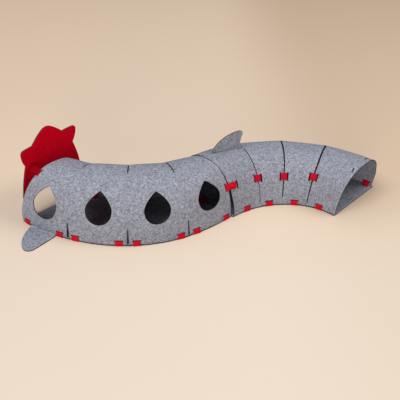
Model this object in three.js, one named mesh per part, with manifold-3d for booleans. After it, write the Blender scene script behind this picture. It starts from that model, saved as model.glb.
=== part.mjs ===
// A felt cat tunnel: two quarter-ring bends laid end to end in an S, a head panel and two fins.
// Millimetres and degrees, +Z up. Each bend has its own frame, with the centre of the bend at the
// origin, its free end on the +X axis and its joint end on the +Y axis.
import * as THREE from 'three';
import { mergeVertices } from 'three/addons/utils/BufferGeometryUtils.js';
import Module from 'manifold-3d';

const wasm = await Module();
wasm.setup();

// Felt and clearances
const felt = 4;
const redFelt = 2;
const clearance = 0.3;
const outlineSegments = 8;
const mergeTolerance = 1e-3;

// Colours
const greyFelt = 0x9b9ba5;
const panelRed = 0xa50014;
const strapRed = 0xd70a28;
const roughness = 0.95;

// Plan of one bend
const innerRadius = 300;
const tunnelWidth = 300;
const outerRadius = innerRadius + tunnelWidth;
const middleRadius = (innerRadius + outerRadius) / 2;
const bendAngle = 90;
const floorSegments = 30;
const jointHeading = 135;
const endTrim = 1;

// Arched wall sheets
const wallInset = 1;
const halfSpan = tunnelWidth / 2 - wallInset - felt / 2;
const footHeight = felt + clearance;
const archPower = 2.3;
const leanPower = 1.5;
const columnsPerFacet = 4;
const archRows = 26;

// Shares of the rise over which a wall goes over from the round of the bend to straight facets
const innerStraight = { from: 0.3, to: 0.8 };
const outerStraight = { from: 0.8, to: 0.99 };

// Sections of a wall: angle from the free end, height of the apex, lean of the apex towards the
// free end and shift of the apex away from the centre of the bend. The sheet is straight between them.
const headSections = [
  { angle: 0, height: 246, lean: -60, shift: 10 },
  { angle: 19.7, height: 246, lean: -34, shift: 0 },
  { angle: 45.3, height: 246, lean: -10, shift: -5 },
  { angle: 68.6, height: 246, lean: 8, shift: 8 },
  { angle: 90, height: 241, lean: 25, shift: 25 },
];
const tailSections = [
  { angle: 0, height: 205, lean: 28, shift: -20 },
  { angle: 23.6, height: 198, lean: 16, shift: -4 },
  { angle: 44.6, height: 200, lean: 8, shift: 0 },
  { angle: 65, height: 213, lean: -6, shift: -8 },
  { angle: 90, height: 241, lean: -25, shift: -25 },
];

// Long slits over the top and down the inside of a bend. Each runs from a low angle to a high angle, from
// a start to an end given as shares of the arch from the inner foot, and widens on the way. A strap bridges
// it at a length up the arch.
const slitDepth = 8;
const slitTipShare = 0.15;
const slitStations = 12;
const headSlits = [
  { lowAngle: 19.7, highAngle: 19.7, start: 0.03, end: 0.515, lowWidth: 2, highWidth: 3.5, strapArc: 130 },
  { lowAngle: 45.3, highAngle: 45.3, start: 0.03, end: 0.53, lowWidth: 2, highWidth: 4.5, strapArc: 130 },
  { lowAngle: 68.6, highAngle: 68.6, start: 0.03, end: 0.57, lowWidth: 2, highWidth: 4.5, strapArc: 130 },
];
const tailSlits = [
  { lowAngle: 24.3, highAngle: 23.2, start: 0.02, end: 0.68, lowWidth: 3, highWidth: 8, strapArc: 132 },
  { lowAngle: 44.7, highAngle: 44.6, start: 0.042, end: 0.68, lowWidth: 3, highWidth: 6, strapArc: 124 },
  { lowAngle: 63.1, highAngle: 66.2, start: 0.02, end: 0.5, lowWidth: 1.5, highWidth: 3, strapArc: 131 },
];

// Short slits up from the outer foot, each with its width at the foot and at its upper end
const footSlits = [
  { angle: 22.3, lowWidth: 12, highWidth: 3.5 },
  { angle: 45.8, lowWidth: 9, highWidth: 3.5 },
  { angle: 69.1, lowWidth: 6, highWidth: 2 },
];
const footSlitHeight = 76;
const footSlitDepth = 30;

// Teardrop windows of the head bend: angle of the middle, turn from sill to tip, length up the wall to the
// sill, height and width
const windows = [
  { angle: 10.95, tilt: -1.8, sill: 61.5, height: 142.5, width: 118.5 },
  { angle: 34.3, tilt: -0.8, sill: 84, height: 135, width: 112 },
  { angle: 57.6, tilt: 0.5, sill: 84, height: 128, width: 108.5 },
  { angle: 79.8, tilt: 0.4, sill: 80.5, height: 126, width: 108.5 },
];
const windowCutDepth = 30;

// Half outline of a window from its sill to its tip, in shares of its half width and of its height
const teardropCurves = [
  { first: [0.55, 0], second: [0.96, 0.17], end: [1, 0.42] },
  { first: [1.03, 0.625], second: [0.46, 0.88], end: [0, 1] },
];
const teardropSegments = 5;

// Straps. A foot strap goes level through the wall and from there slopes down to its slot in the floor.
const strapWidth = 29;
const footStrapHeight = 22;
const footStrapReach = 27;
const footStrapLevel = 6;
const endStrapAngle = 3;
const pairedStrapOffset = 3.3;
const outerStrapAngles = [endStrapAngle];
for (const { angle } of footSlits) {
  outerStrapAngles.push(angle - pairedStrapOffset, angle + pairedStrapOffset);
}
outerStrapAngles.push(bendAngle - endStrapAngle);
const innerStrapAngles = [14.6, 34.6, 55.4, 75.2];
const slitStrapSpan = 25;
const strapSlack = 1;
const jointStrapArc = 142;
const jointStrapHeadReach = 13;
const jointStrapTailReach = 40;
const floorStrapReach = 21;
const floorStrapShift = 16;

// The tail wall stands back from the joint at its near foot
const jointGapFootWidth = 17;
const jointGapTopWidth = 7;
const jointGapHeight = 150;
const jointGapDepth = 80;

// Empty slots at the tail end: place along the arch from the inner foot, and a slot in the floor
const slotLength = 22;
const slotWidth = 3;
const slotInset = 16;
const tailSlotArcs = [215, 322];
const floorSlotRadius = 443;

// Head panel. Its half outline runs from the top down: hump, top of the ear, tip of the ear, side of the ear
// and side, each point a distance from the middle and a height
const panelYaw = 7.5;
const panelPitch = 4.4;
const panelMiddle = 428;
const panelClearance = 4;
const panelBow = 16;
const panelFootWidth = 160;
const panelHalfWidth = 170;
const panelColumns = 14;
const panelHeight = 357;
const panelCurves = [
  { first: [22, panelHeight], second: [52, 331], end: [80.5, 304.5] },
  { first: [97, 306.5], second: [115, 308.5], end: [130, 308.5] },
  { first: [139, 308.5], second: [144.5, 302], end: [144.2, 293] },
  { first: [144, 275], second: [138, 253], end: [126.5, 236] },
  { first: [142, 190], second: [168, 120], end: [panelFootWidth, 0] },
];
const mouthHalfWidth = 135;
const mouthHeight = 140;
const mouthSteps = 20;
const panelStrapInset = 9;
const panelStrapTail = 10;
const panelStrapStep = 0.01;
const panelStraps = [
  { name: 'near', arc: 242, fromOuter: true },
  { name: 'far', arc: 150, fromOuter: false },
];

// Dorsal fin on the ridge of the tail bend: leading edge, tip and trailing edge, each point a distance
// along the ridge and a height above it
const dorsalFrom = { angle: 83.6, share: 0.544 };
const dorsalTo = { angle: 67, share: 0.502 };
const dorsalCurves = [
  { first: [2, 34], second: [48, 72], end: [110, 82] },
  { first: [122, 84], second: [140, 80], end: [138, 68] },
  { first: [134, 48], second: [121, 26], end: [146, 0] },
];
const dorsalTab = { start: 45, end: 100, depth: 14 };
const dorsalLift = 1;

// Pectoral fin, flat on the ground beside the head bend
const pectoralFromAngle = 5.2;
const pectoralRoot = 128;
const pectoralReach = 133;
const pectoralSweep = 86;
const pectoralSweepPower = 1.45;
const pectoralTaper = 0.18;
const pectoralTipRadius = 20;
const pectoralTipWidth = 1;
const pectoralTuck = 24;
const pectoralDrop = 12;
const pectoralDropSteps = 4;
const pectoralSteps = 8;
const pectoralColumns = 6;

const degrees = (angle) => angle * Math.PI / 180;
const mix = (a, b, share) => a + (b - a) * share;

// The angle of a length along a circle
const turnOf = (length, radius) => THREE.MathUtils.radToDeg(length / radius);

function ease(from, to, value) {
  const share = Math.min(1, Math.max(0, (value - from) / (to - from)));
  return share * share * (3 - 2 * share);
}

// A closed geometry from points and triangles, turned so that its faces point out
function closedGeometry(points, triangles) {
  let volume = 0;
  for (const [a, b, c] of triangles) {
    volume += points[a].dot(points[b].clone().cross(points[c]));
  }
  const faces = volume < 0 ? triangles.map(([a, b, c]) => [a, c, b]) : triangles;
  const geometry = new THREE.BufferGeometry().setFromPoints(points);
  geometry.setIndex(faces.flat());
  return geometry;
}

// Booleans
function solidOf(geometry) {
  const bare = geometry.clone();
  bare.deleteAttribute('normal');
  bare.deleteAttribute('uv');
  const merged = mergeVertices(bare, mergeTolerance);
  const vertProperties = Float32Array.from(merged.attributes.position.array);
  const triVerts = Uint32Array.from(merged.index.array);
  return new wasm.Manifold(new wasm.Mesh({ numProp: 3, vertProperties, triVerts }));
}

function geometryOf(solid) {
  const mesh = solid.getMesh();
  const geometry = new THREE.BufferGeometry();
  geometry.setAttribute('position', new THREE.BufferAttribute(mesh.vertProperties, 3));
  geometry.setIndex(new THREE.BufferAttribute(mesh.triVerts, 1));
  geometry.computeVertexNormals();
  return geometry;
}

function cutAway(geometry, cutters) {
  let solid = solidOf(geometry);
  for (const cutter of cutters) {
    solid = solid.subtract(solidOf(cutter));
  }
  return geometryOf(solid);
}

// A closed prism over a flat outline, with place giving the point for each outline point and depth
function mappedPrism(outline, lowDepth, highDepth, place) {
  const flat = outline.map(([a, b]) => new THREE.Vector2(a, b));
  const caps = THREE.ShapeUtils.triangulateShape(flat, []);
  return prismOver(outline, caps, THREE.ShapeUtils.isClockWise(flat), lowDepth, highDepth, place);
}

// The same over a long strip, whose two sides run station by station
function mappedStrip(left, right, lowDepth, highDepth, place) {
  const outline = [...left, ...right.toReversed()];
  const last = outline.length - 1;
  const caps = [];
  for (let i = 0; i < left.length - 1; i += 1) {
    caps.push([i, i + 1, last - i - 1], [i, last - i - 1, last - i]);
  }
  return prismOver(outline, caps, false, lowDepth, highDepth, place);
}

function prismOver(outline, caps, turned, lowDepth, highDepth, place) {
  const count = outline.length;
  const points = [];
  for (const depth of [lowDepth, highDepth]) {
    for (const [a, b] of outline) {
      points.push(place(a, b, depth));
    }
  }
  const triangles = [];
  for (const [a, b, c] of caps) {
    triangles.push([a, c, b], [a + count, b + count, c + count]);
  }
  for (let i = 0; i < count; i += 1) {
    const next = (i + 1) % count;
    const side = [[i, next, next + count], [i, next + count, i + count]];
    triangles.push(...(turned ? side.map(([a, b, c]) => [a, c, b]) : side));
  }
  return closedGeometry(points, triangles);
}

// A closed sheet over a grid of points, with face 0 on one side of the sheet and 1 on the other
function gridSheet(columns, rows, pointAt) {
  const points = [];
  for (const face of [0, 1]) {
    for (let column = 0; column <= columns; column += 1) {
      for (let row = 0; row <= rows; row += 1) {
        points.push(pointAt(column, row, face));
      }
    }
  }
  const perColumn = rows + 1;
  const perFace = perColumn * (columns + 1);
  const triangles = [];
  const quad = (a, b, c, d) => triangles.push([a, b, c], [a, c, d]);
  for (let column = 0; column < columns; column += 1) {
    for (let row = 0; row < rows; row += 1) {
      const corner = column * perColumn + row;
      const next = corner + perColumn;
      quad(corner, corner + 1, next + 1, next);
      quad(corner + perFace, next + perFace, next + perFace + 1, corner + perFace + 1);
    }
    for (const row of [0, rows]) {
      const corner = column * perColumn + row;
      const next = corner + perColumn;
      const strip = [corner, next, next + perFace, corner + perFace];
      quad(...(row === 0 ? strip : strip.reverse()));
    }
  }
  for (const column of [0, columns]) {
    for (let row = 0; row < rows; row += 1) {
      const corner = column * perColumn + row;
      const strip = [corner, corner + perFace, corner + perFace + 1, corner + 1];
      quad(...(column === 0 ? strip : strip.reverse()));
    }
  }
  return closedGeometry(points, triangles);
}

// Where a geometry drawn in X, Y, Z is set down: its three directions and its origin
function setDown(geometry, xAxis, yAxis, zAxis, origin) {
  const matrix = new THREE.Matrix4().makeBasis(xAxis, yAxis, zAxis).setPosition(origin);
  return geometry.applyMatrix4(matrix);
}

// An outline made thick, half to each side of its plane
function extruded(shape, depth) {
  const settings = { depth, bevelEnabled: false, curveSegments: outlineSegments };
  return new THREE.ExtrudeGeometry(shape, settings).translate(0, 0, -depth / 2);
}

// Follows a table of curves, each with two control points and an end
function followCurves(shape, curves, place) {
  for (const { first, second, end } of curves) {
    shape.bezierCurveTo(...place(first), ...place(second), ...place(end));
  }
}

// The same curves seen in a mirror and followed from their end back to their start
function mirroredBack(start, curves) {
  const starts = [start, ...curves.map((curve) => curve.end)];
  const mirror = ([across, up]) => [-across, up];
  const back = curves.map(({ first, second }, i) => (
    { first: mirror(second), second: mirror(first), end: mirror(starts[i]) }
  ));
  return back.reverse();
}

function radialAt(angle) {
  return new THREE.Vector3(Math.cos(degrees(angle)), Math.sin(degrees(angle)), 0);
}

function tangentAt(angle) {
  return new THREE.Vector3(-Math.sin(degrees(angle)), Math.cos(degrees(angle)), 0);
}

const upward = new THREE.Vector3(0, 0, 1);

// The arched wall of a bend as a surface: angle along the bend, share of the arch, depth along its normal
function wallSurface(sections) {
  function sectionPoint(row, share, angle) {
    const turn = Math.PI * share;
    const cosine = Math.cos(turn);
    const across = -Math.sign(cosine) * Math.abs(cosine) ** (2 / archPower) * halfSpan;
    const rise = Math.abs(Math.sin(turn)) ** (2 / archPower);
    const radius = middleRadius + across + row.shift * rise * rise;
    const lean = row.lean * rise ** leanPower;
    const point = radialAt(angle).multiplyScalar(radius);
    point.addScaledVector(tangentAt(angle), -lean);
    point.z = mix(footHeight, row.height - felt / 2, rise);
    return { point, rise };
  }

  function middle(angle, share) {
    let index = 0;
    while (index < sections.length - 2 && angle > sections[index + 1].angle) {
      index += 1;
    }
    const from = sections[index];
    const to = sections[index + 1];
    const part = (angle - from.angle) / (to.angle - from.angle);
    const row = {
      height: mix(from.height, to.height, part),
      lean: mix(from.lean, to.lean, part),
      shift: mix(from.shift, to.shift, part),
    };
    const round = sectionPoint(row, share, angle);
    const chord = sectionPoint(from, share, from.angle).point;
    chord.lerp(sectionPoint(to, share, to.angle).point, part);
    const straight = share < 0.5 ? innerStraight : outerStraight;
    return round.point.lerp(chord, ease(straight.from, straight.to, round.rise));
  }

  function normal(angle, share) {
    const angleStep = 0.4;
    const shareStep = 0.004;
    const along = middle(angle + angleStep, share).sub(middle(angle - angleStep, share));
    const lower = Math.max(0, share - shareStep);
    const upper = Math.min(1, share + shareStep);
    const around = middle(angle, upper).sub(middle(angle, lower));
    return around.cross(along).normalize();
  }

  function point(angle, share, depth) {
    const place = middle(angle, share).addScaledVector(normal(angle, share), depth);
    if (share === 0 || share === 1) {
      place.z = footHeight;
    }
    return place;
  }

  // Share of the arch at a length along the section from the inner foot, or from the outer foot
  function shareAtArc(angle, arc, fromOuter) {
    const steps = 240;
    let walked = 0;
    let last = middle(angle, fromOuter ? 1 : 0);
    for (let i = 1; i <= steps; i += 1) {
      const share = fromOuter ? 1 - i / steps : i / steps;
      const next = middle(angle, share);
      const step = next.distanceTo(last);
      if (walked + step >= arc) {
        const back = (1 - (arc - walked) / step) / steps;
        return fromOuter ? share + back : share - back;
      }
      walked += step;
      last = next;
    }
    return fromOuter ? 0 : 1;
  }

  function radiusAt(angle, share) {
    const place = middle(angle, share);
    return Math.hypot(place.x, place.y);
  }

  return { sections, middle, normal, point, shareAtArc, radiusAt };
}

// The whole sheet of a wall, from its free end to its joint end
function wallSheet(wall) {
  const angles = [];
  const jointAngle = bendAngle - THREE.MathUtils.radToDeg(endTrim / innerRadius);
  for (let i = 0; i < wall.sections.length - 1; i += 1) {
    const from = wall.sections[i].angle;
    const to = Math.min(wall.sections[i + 1].angle, jointAngle);
    for (let k = 0; k < columnsPerFacet; k += 1) {
      angles.push(mix(from, to, k / columnsPerFacet));
    }
  }
  angles.push(jointAngle);
  const pointAt = (column, row, face) => wall.point(angles[column], row / archRows, (face - 0.5) * felt);
  return gridSheet(angles.length - 1, archRows, pointAt);
}

// A long slit, as the solid that is cut out of the wall
function longSlit(wall, slit) {
  const left = [];
  const right = [];
  for (let i = 0; i <= slitStations; i += 1) {
    const part = i / slitStations;
    const share = mix(slit.start, slit.end, part);
    const angle = mix(slit.lowAngle, slit.highAngle, part);
    const narrowing = i === slitStations ? slitTipShare : 1;
    const width = mix(slit.lowWidth, slit.highWidth, part) * narrowing;
    const half = turnOf(width / 2, wall.radiusAt(angle, share));
    left.push([angle + half, share]);
    right.push([angle - half, share]);
  }
  return mappedStrip(left, right, -slitDepth, slitDepth, wall.point);
}

// A short slit that opens downwards, cut through the outer foot
function footSlit({ angle, lowWidth, highWidth }) {
  const outline = [
    [-lowWidth / 2, 0],
    [lowWidth / 2, 0],
    [highWidth / 2, footSlitHeight],
    [-highWidth / 2, footSlitHeight],
  ];
  const place = (across, height, radius) => radialAt(angle).multiplyScalar(radius)
    .addScaledVector(tangentAt(angle), across).addScaledVector(upward, height);
  return mappedPrism(outline, outerRadius - footSlitDepth, outerRadius + footSlitDepth, place);
}

// Teardrop outline, its sill at the origin and its point straight above
function teardrop(width, height) {
  const place = ([across, up]) => [across * width / 2, up * height];
  const shape = new THREE.Shape();
  shape.moveTo(0, 0);
  followCurves(shape, teardropCurves, place);
  followCurves(shape, mirroredBack([0, 0], teardropCurves), place);
  return shape.getPoints(teardropSegments).slice(0, -1).map((point) => [point.x, point.y]);
}

// A window as the solid that is cut out of the wall, set out along the bend and up from the outer foot
function windowCut(wall, { angle, tilt, sill, height, width }) {
  const place = (across, up, depth) => {
    const turned = angle + tilt * (up / height - 0.5) + turnOf(across, outerRadius);
    return wall.point(turned, wall.shareAtArc(turned, sill + up, true), depth);
  };
  return mappedPrism(teardrop(width, height), -windowCutDepth, windowCutDepth, place);
}

// An empty slot near the free end of a wall, across the end
function endSlot(wall, arc) {
  const radius = wall.radiusAt(0, wall.shareAtArc(0, arc, false));
  const near = turnOf(slotInset - slotWidth / 2, radius);
  const far = turnOf(slotInset + slotWidth / 2, radius);
  const low = arc - slotLength / 2;
  const high = arc + slotLength / 2;
  const outline = [[near, low], [far, low], [far, high], [near, high]];
  const place = (angle, up, depth) => wall.point(angle, wall.shareAtArc(angle, up, false), depth);
  return mappedPrism(outline, -slitDepth, slitDepth, place);
}

// Corners that run anticlockwise, moved out so that each side lies a distance further out
function movedOut(corners, distance) {
  return corners.map((corner, i) => {
    const into = corner.clone().sub(corners.at(i - 1)).normalize();
    const onwards = corners[(i + 1) % corners.length].clone().sub(corner).normalize();
    const outward = new THREE.Vector2(into.y + onwards.y, -into.x - onwards.x);
    return corner.clone().addScaledVector(outward, distance / (1 + into.dot(onwards)));
  });
}

const cornersOf = (...points) => points.map(([x, y]) => new THREE.Vector2(x, y));

function rectangle(halfWidth, low, high) {
  return cornersOf([-halfWidth, low], [halfWidth, low], [halfWidth, high], [-halfWidth, high]);
}

// A strap: a closed band of even thickness around the corners of its hole. Its section lies in the xAxis and
// yAxis directions, and the band is strapWidth wide along zAxis, centred on the origin.
function loop(hole, grow, xAxis, yAxis, zAxis, origin) {
  const shape = new THREE.Shape(movedOut(hole, redFelt + grow));
  shape.holes.push(new THREE.Path(movedOut(hole, -grow)));
  return setDown(extruded(shape, strapWidth + 2 * grow), xAxis, yAxis, zAxis, origin);
}

// A strap around the corner where a wall's foot stands on the edge of its floor
function footStrap(angle, outer, grow) {
  const radius = outer ? outerRadius : innerRadius;
  const outward = radialAt(angle).multiplyScalar(outer ? 1 : -1);
  const sag = outer ? 0 : strapWidth * strapWidth / 8 / innerRadius;
  const origin = radialAt(angle).multiplyScalar(radius);
  const outside = clearance + sag;
  const high = footStrapHeight - redFelt;
  const hole = cornersOf(
    [-footStrapReach, redFelt], [outside, redFelt], [outside, high], [-footStrapLevel, high],
  );
  const sideways = outward.clone().cross(upward);
  return loop(hole, grow, outward, upward, sideways, origin);
}

// A strap through the wall on either side of a long slit
function slitStrap(wall, slit, grow) {
  const middleAngle = (slit.lowAngle + slit.highAngle) / 2;
  const share = wall.shareAtArc(middleAngle, slit.strapArc, false);
  const angle = mix(slit.lowAngle, slit.highAngle, (share - slit.start) / (slit.end - slit.start));
  const outward = wall.normal(angle, share);
  const along = tangentAt(angle);
  along.addScaledVector(outward, -along.dot(outward)).normalize();
  const upTheWall = along.clone().cross(outward);
  const depth = felt / 2 + strapSlack;
  const hole = rectangle(slitStrapSpan / 2, -depth, depth);
  return loop(hole, grow, along, outward, upTheWall, wall.point(angle, share, 0));
}

// The floor of a bend
function floorSheet(cutters) {
  const trim = (radius) => endTrim / radius;
  const shape = new THREE.Shape();
  const sweep = degrees(bendAngle);
  shape.absarc(0, 0, outerRadius, trim(outerRadius), sweep - trim(outerRadius), false);
  shape.absarc(0, 0, innerRadius, sweep - trim(innerRadius), trim(innerRadius), true);
  const settings = { depth: felt, bevelEnabled: false, curveSegments: floorSegments };
  return cutAway(new THREE.ExtrudeGeometry(shape, settings), cutters);
}

function floorSlot() {
  const geometry = new THREE.BoxGeometry(slotLength, slotWidth, 2 * slitDepth);
  return geometry.translate(floorSlotRadius, slotInset, 0);
}

// Head panel: a symmetrical sheet with a rounded hump, two ears and an arched mouth
function panelShape() {
  const asDrawn = (point) => point;
  const top = [0, panelHeight];
  const shape = new THREE.Shape();
  shape.moveTo(...top);
  followCurves(shape, panelCurves, asDrawn);
  for (let i = 0; i <= mouthSteps; i += 1) {
    const turn = Math.PI * i / mouthSteps;
    const across = Math.sign(Math.cos(turn)) * Math.abs(Math.cos(turn)) ** (2 / archPower);
    const rise = Math.abs(Math.sin(turn)) ** (2 / archPower);
    shape.lineTo(mouthHalfWidth * across, i % mouthSteps ? mouthHeight * rise : 0);
  }
  shape.lineTo(-panelFootWidth, 0);
  followCurves(shape, mirroredBack(top, panelCurves), asDrawn);
  return shape;
}

// The panel's own directions: towards the outside of the bend, up, and away from the tunnel
const panelAside = radialAt(panelYaw);
const panelUp = tangentAt(panelYaw).multiplyScalar(Math.sin(degrees(panelPitch)));
panelUp.addScaledVector(upward, Math.cos(degrees(panelPitch)));
const panelForward = panelAside.clone().cross(panelUp);
const panelFoot = new THREE.Vector3(outerRadius, -panelClearance, 0);
panelFoot.addScaledVector(panelAside, panelMiddle - outerRadius);

// How far the panel's middle stands forward of its sides
const bowAt = (across) => panelBow * (1 - (across / panelFootWidth) ** 2);

// One layer of the panel, its back face at a distance in front of the panel's back
function panelLayer(offset, thickness) {
  const slab = gridSheet(panelColumns, 1, (column, row, face) => {
    const across = mix(-panelHalfWidth, panelHalfWidth, column / panelColumns);
    return new THREE.Vector3(across, row * panelHeight, bowAt(across) + offset + face * thickness);
  });
  const outline = solidOf(extruded(panelShape(), 2 * panelHalfWidth));
  const layer = geometryOf(solidOf(slab).intersect(outline));
  return setDown(layer, panelAside, panelUp, panelForward, panelFoot);
}

// A strap from the head panel level over the rim of the head bend, its end tucked through a slot
function panelStrap(wall, { arc, fromOuter }, grow) {
  const share = wall.shareAtArc(0, arc, fromOuter);
  const rim = wall.point(0, share, 0);
  const aside = wall.point(0, share + panelStrapStep, 0);
  aside.sub(wall.point(0, share - panelStrapStep, 0)).normalize();
  const forward = tangentAt(0).negate();
  const outward = forward.clone().cross(aside).normalize();
  const fromFoot = panelFoot.clone().sub(rim);
  const inFront = fromFoot.dot(panelForward) + bowAt(fromFoot.dot(panelAside));
  const toPanel = inFront / forward.dot(panelForward);
  const reach = toPanel + redFelt + felt + panelStrapTail;
  const low = felt / 2 + strapSlack;
  const shape = new THREE.Shape();
  shape.moveTo(-panelStrapInset - redFelt - grow, -low - panelStrapTail - grow);
  shape.lineTo(-panelStrapInset + grow, -low - panelStrapTail - grow);
  shape.lineTo(-panelStrapInset + grow, low - grow);
  shape.lineTo(reach + grow, low - grow);
  shape.lineTo(reach + grow, low + redFelt + grow);
  shape.lineTo(-panelStrapInset - redFelt - grow, low + redFelt + grow);
  return setDown(extruded(shape, strapWidth + 2 * grow), forward, outward, aside.negate(), rim);
}

// Dorsal fin in its own upright plane: x along the ridge from the joint, y up. Its tab goes through the wall.
function dorsalFin(wall, grow) {
  const start = wall.point(dorsalFrom.angle, dorsalFrom.share, felt / 2 + dorsalLift);
  const along = wall.point(dorsalTo.angle, dorsalTo.share, felt / 2 + dorsalLift).sub(start).normalize();
  const aside = along.clone().cross(upward).normalize();
  const up = aside.clone().cross(along);
  const shape = new THREE.Shape();
  shape.moveTo(0, -grow);
  followCurves(shape, dorsalCurves, ([across, height]) => [across, height - grow]);
  shape.lineTo(dorsalTab.end + grow, -grow);
  shape.lineTo(dorsalTab.end + grow, -dorsalTab.depth - grow);
  shape.lineTo(dorsalTab.start - grow, -dorsalTab.depth - grow);
  shape.lineTo(dorsalTab.start - grow, -grow);
  return setDown(extruded(shape, felt + 2 * grow), along, up, aside, start);
}

// Pectoral fin: its root is tucked between the wall and the floor, and it drops to the ground outside.
// Its edges are lengths along the floor's edge at a distance out from it.
function pectoralEdges(out) {
  const share = Math.min(1, Math.max(0, out) / pectoralReach);
  const swept = 1 - (1 - share ** pectoralSweepPower) ** (1 / pectoralSweepPower);
  const rounding = Math.max(0, out - pectoralReach + pectoralTipRadius) / pectoralTipRadius;
  const roundedOff = pectoralTipRadius * (1 - Math.sqrt(Math.max(0, 1 - rounding * rounding)));
  const leading = pectoralSweep * swept;
  const trailing = pectoralRoot - pectoralTaper * Math.max(0, out) - roundedOff;
  return { leading, trailing: Math.max(trailing, leading + pectoralTipWidth) };
}

function pectoralFin(grow) {
  const outs = [-pectoralTuck, -pectoralTuck / 2];
  for (let i = 0; i <= pectoralDropSteps; i += 1) {
    outs.push(mix(clearance, pectoralDrop, i / pectoralDropSteps));
  }
  for (let i = 1; i <= pectoralSteps; i += 1) {
    outs.push(mix(pectoralDrop, pectoralReach, Math.sin(Math.PI / 2 * i / pectoralSteps)));
  }
  const pointAt = (column, row, face) => {
    const out = outs[column];
    const { leading, trailing } = pectoralEdges(out);
    const along = mix(leading - grow, trailing + grow, row / pectoralColumns);
    const base = mix(felt + clearance, 0, ease(clearance, pectoralDrop, out));
    const angle = pectoralFromAngle + THREE.MathUtils.radToDeg(along / outerRadius);
    const point = radialAt(angle).multiplyScalar(outerRadius + out);
    point.z = face === 1 ? base + felt + grow : base - grow;
    return point;
  };
  return gridSheet(outs.length - 1, pectoralColumns, pointAt);
}

// A named piece with a material of its own
function piece(name, geometry, color) {
  const mesh = new THREE.Mesh(geometry, new THREE.MeshStandardMaterial({ color, roughness, metalness: 0 }));
  mesh.name = name;
  return mesh;
}

// Everything that both bends have: floor, wall and the straps that hold them
function addBend(group, name, wall, slits, extras) {
  const straps = [];
  const addStrap = (strapName, build) => {
    group.add(piece(strapName, build(0), strapRed));
    straps.push(build(clearance));
  };
  outerStrapAngles.forEach((angle, i) => {
    addStrap(`strap_${name}_outer_${i + 1}`, (grow) => footStrap(angle, true, grow));
  });
  innerStrapAngles.forEach((angle, i) => {
    addStrap(`strap_${name}_inner_${i + 1}`, (grow) => footStrap(angle, false, grow));
  });
  slits.forEach((slit, i) => {
    addStrap(`strap_${name}_slit_${i + 1}`, (grow) => slitStrap(wall, slit, grow));
  });
  const wallCutters = [...straps, ...extras.wallCutters];
  slits.forEach((slit) => wallCutters.push(longSlit(wall, slit)));
  footSlits.forEach((slit) => wallCutters.push(footSlit(slit)));
  group.add(piece(`wall_${name}`, cutAway(wallSheet(wall), wallCutters), greyFelt));
  group.add(piece(`floor_${name}`, floorSheet([...straps, ...extras.floorCutters]), greyFelt));
}

const headWall = wallSurface(headSections);
const tailWall = wallSurface(tailSections);

// The two bends, turned about the middle of the joint line that they share
function bendGroup(heading) {
  const group = new THREE.Group();
  const centre = radialAt(heading).multiplyScalar(-middleRadius);
  group.position.copy(centre);
  group.rotation.z = degrees(heading - bendAngle);
  group.updateMatrix();
  return group;
}

const tail = bendGroup(jointHeading);
const head = bendGroup(jointHeading + 180);

// A joint strap lies over both walls, so it is drawn about the joint and cut out of each wall.
// The near one crosses the outside of the head bend and the inside of the tail bend.
function jointStrap(near, grow) {
  const headShare = headWall.shareAtArc(bendAngle, jointStrapArc, near);
  const tailShare = tailWall.shareAtArc(bendAngle, jointStrapArc, !near);
  const headRadius = headWall.middle(bendAngle, headShare).length();
  const tailRadius = tailWall.middle(bendAngle, tailShare).length();
  const headAngle = bendAngle - THREE.MathUtils.radToDeg(jointStrapHeadReach / headRadius);
  const tailAngle = bendAngle - THREE.MathUtils.radToDeg(jointStrapTailReach / tailRadius);
  const from = headWall.middle(headAngle, headShare).applyMatrix4(head.matrix);
  const to = tailWall.middle(tailAngle, tailShare).applyMatrix4(tail.matrix);
  const along = to.clone().sub(from);
  const half = along.length() / 2;
  along.normalize();
  const outward = headWall.normal(headAngle, headShare).transformDirection(head.matrix);
  outward.addScaledVector(along, -outward.dot(along)).normalize();
  const upTheWall = along.clone().cross(outward);
  const depth = felt / 2 + 2 * strapSlack;
  const hole = rectangle(half, -depth, depth);
  const origin = from.add(to).multiplyScalar(0.5);
  return loop(hole, grow, along, outward, upTheWall, origin);
}

const inBend = (geometry, bend) => geometry.applyMatrix4(bend.matrix.clone().invert());

// The strap that ties the two floors, over the joint line
function floorStrap(grow) {
  const across = radialAt(jointHeading);
  const along = tangentAt(jointHeading);
  const hole = rectangle(floorStrapReach, redFelt, felt + clearance);
  return loop(hole, grow, along, upward, along.clone().cross(upward), across.multiplyScalar(floorStrapShift));
}

// What is cut off the near foot of the tail wall at the joint
function jointGap() {
  const past = -endTrim * 2;
  const outline = [
    [past, 0],
    [jointGapFootWidth, 0],
    [jointGapTopWidth, jointGapHeight],
    [past, jointGapHeight],
  ];
  const place = (back, height, radius) => radialAt(bendAngle).multiplyScalar(radius)
    .addScaledVector(tangentAt(bendAngle), -back).addScaledVector(upward, height);
  return mappedPrism(outline, innerRadius - jointGapDepth / 2, innerRadius + jointGapDepth / 2, place);
}

const windowCuts = windows.map((row) => windowCut(headWall, row));
const jointStrapSides = [{ name: 'near', near: true }, { name: 'far', near: false }];
const jointCutters = (bend) => jointStrapSides.map((side) => inBend(jointStrap(side.near, clearance), bend));
const panelCutters = panelStraps.map((row) => panelStrap(headWall, row, clearance));

addBend(head, 'head', headWall, headSlits, {
  wallCutters: [...windowCuts, ...jointCutters(head), ...panelCutters, pectoralFin(clearance)],
  floorCutters: [inBend(floorStrap(clearance), head)],
});
addBend(tail, 'tail', tailWall, tailSlits, {
  wallCutters: [
    ...tailSlotArcs.map((arc) => endSlot(tailWall, arc)),
    ...jointCutters(tail),
    jointGap(),
    dorsalFin(tailWall, clearance),
  ],
  floorCutters: [floorSlot(), inBend(floorStrap(clearance), tail)],
});

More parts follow.
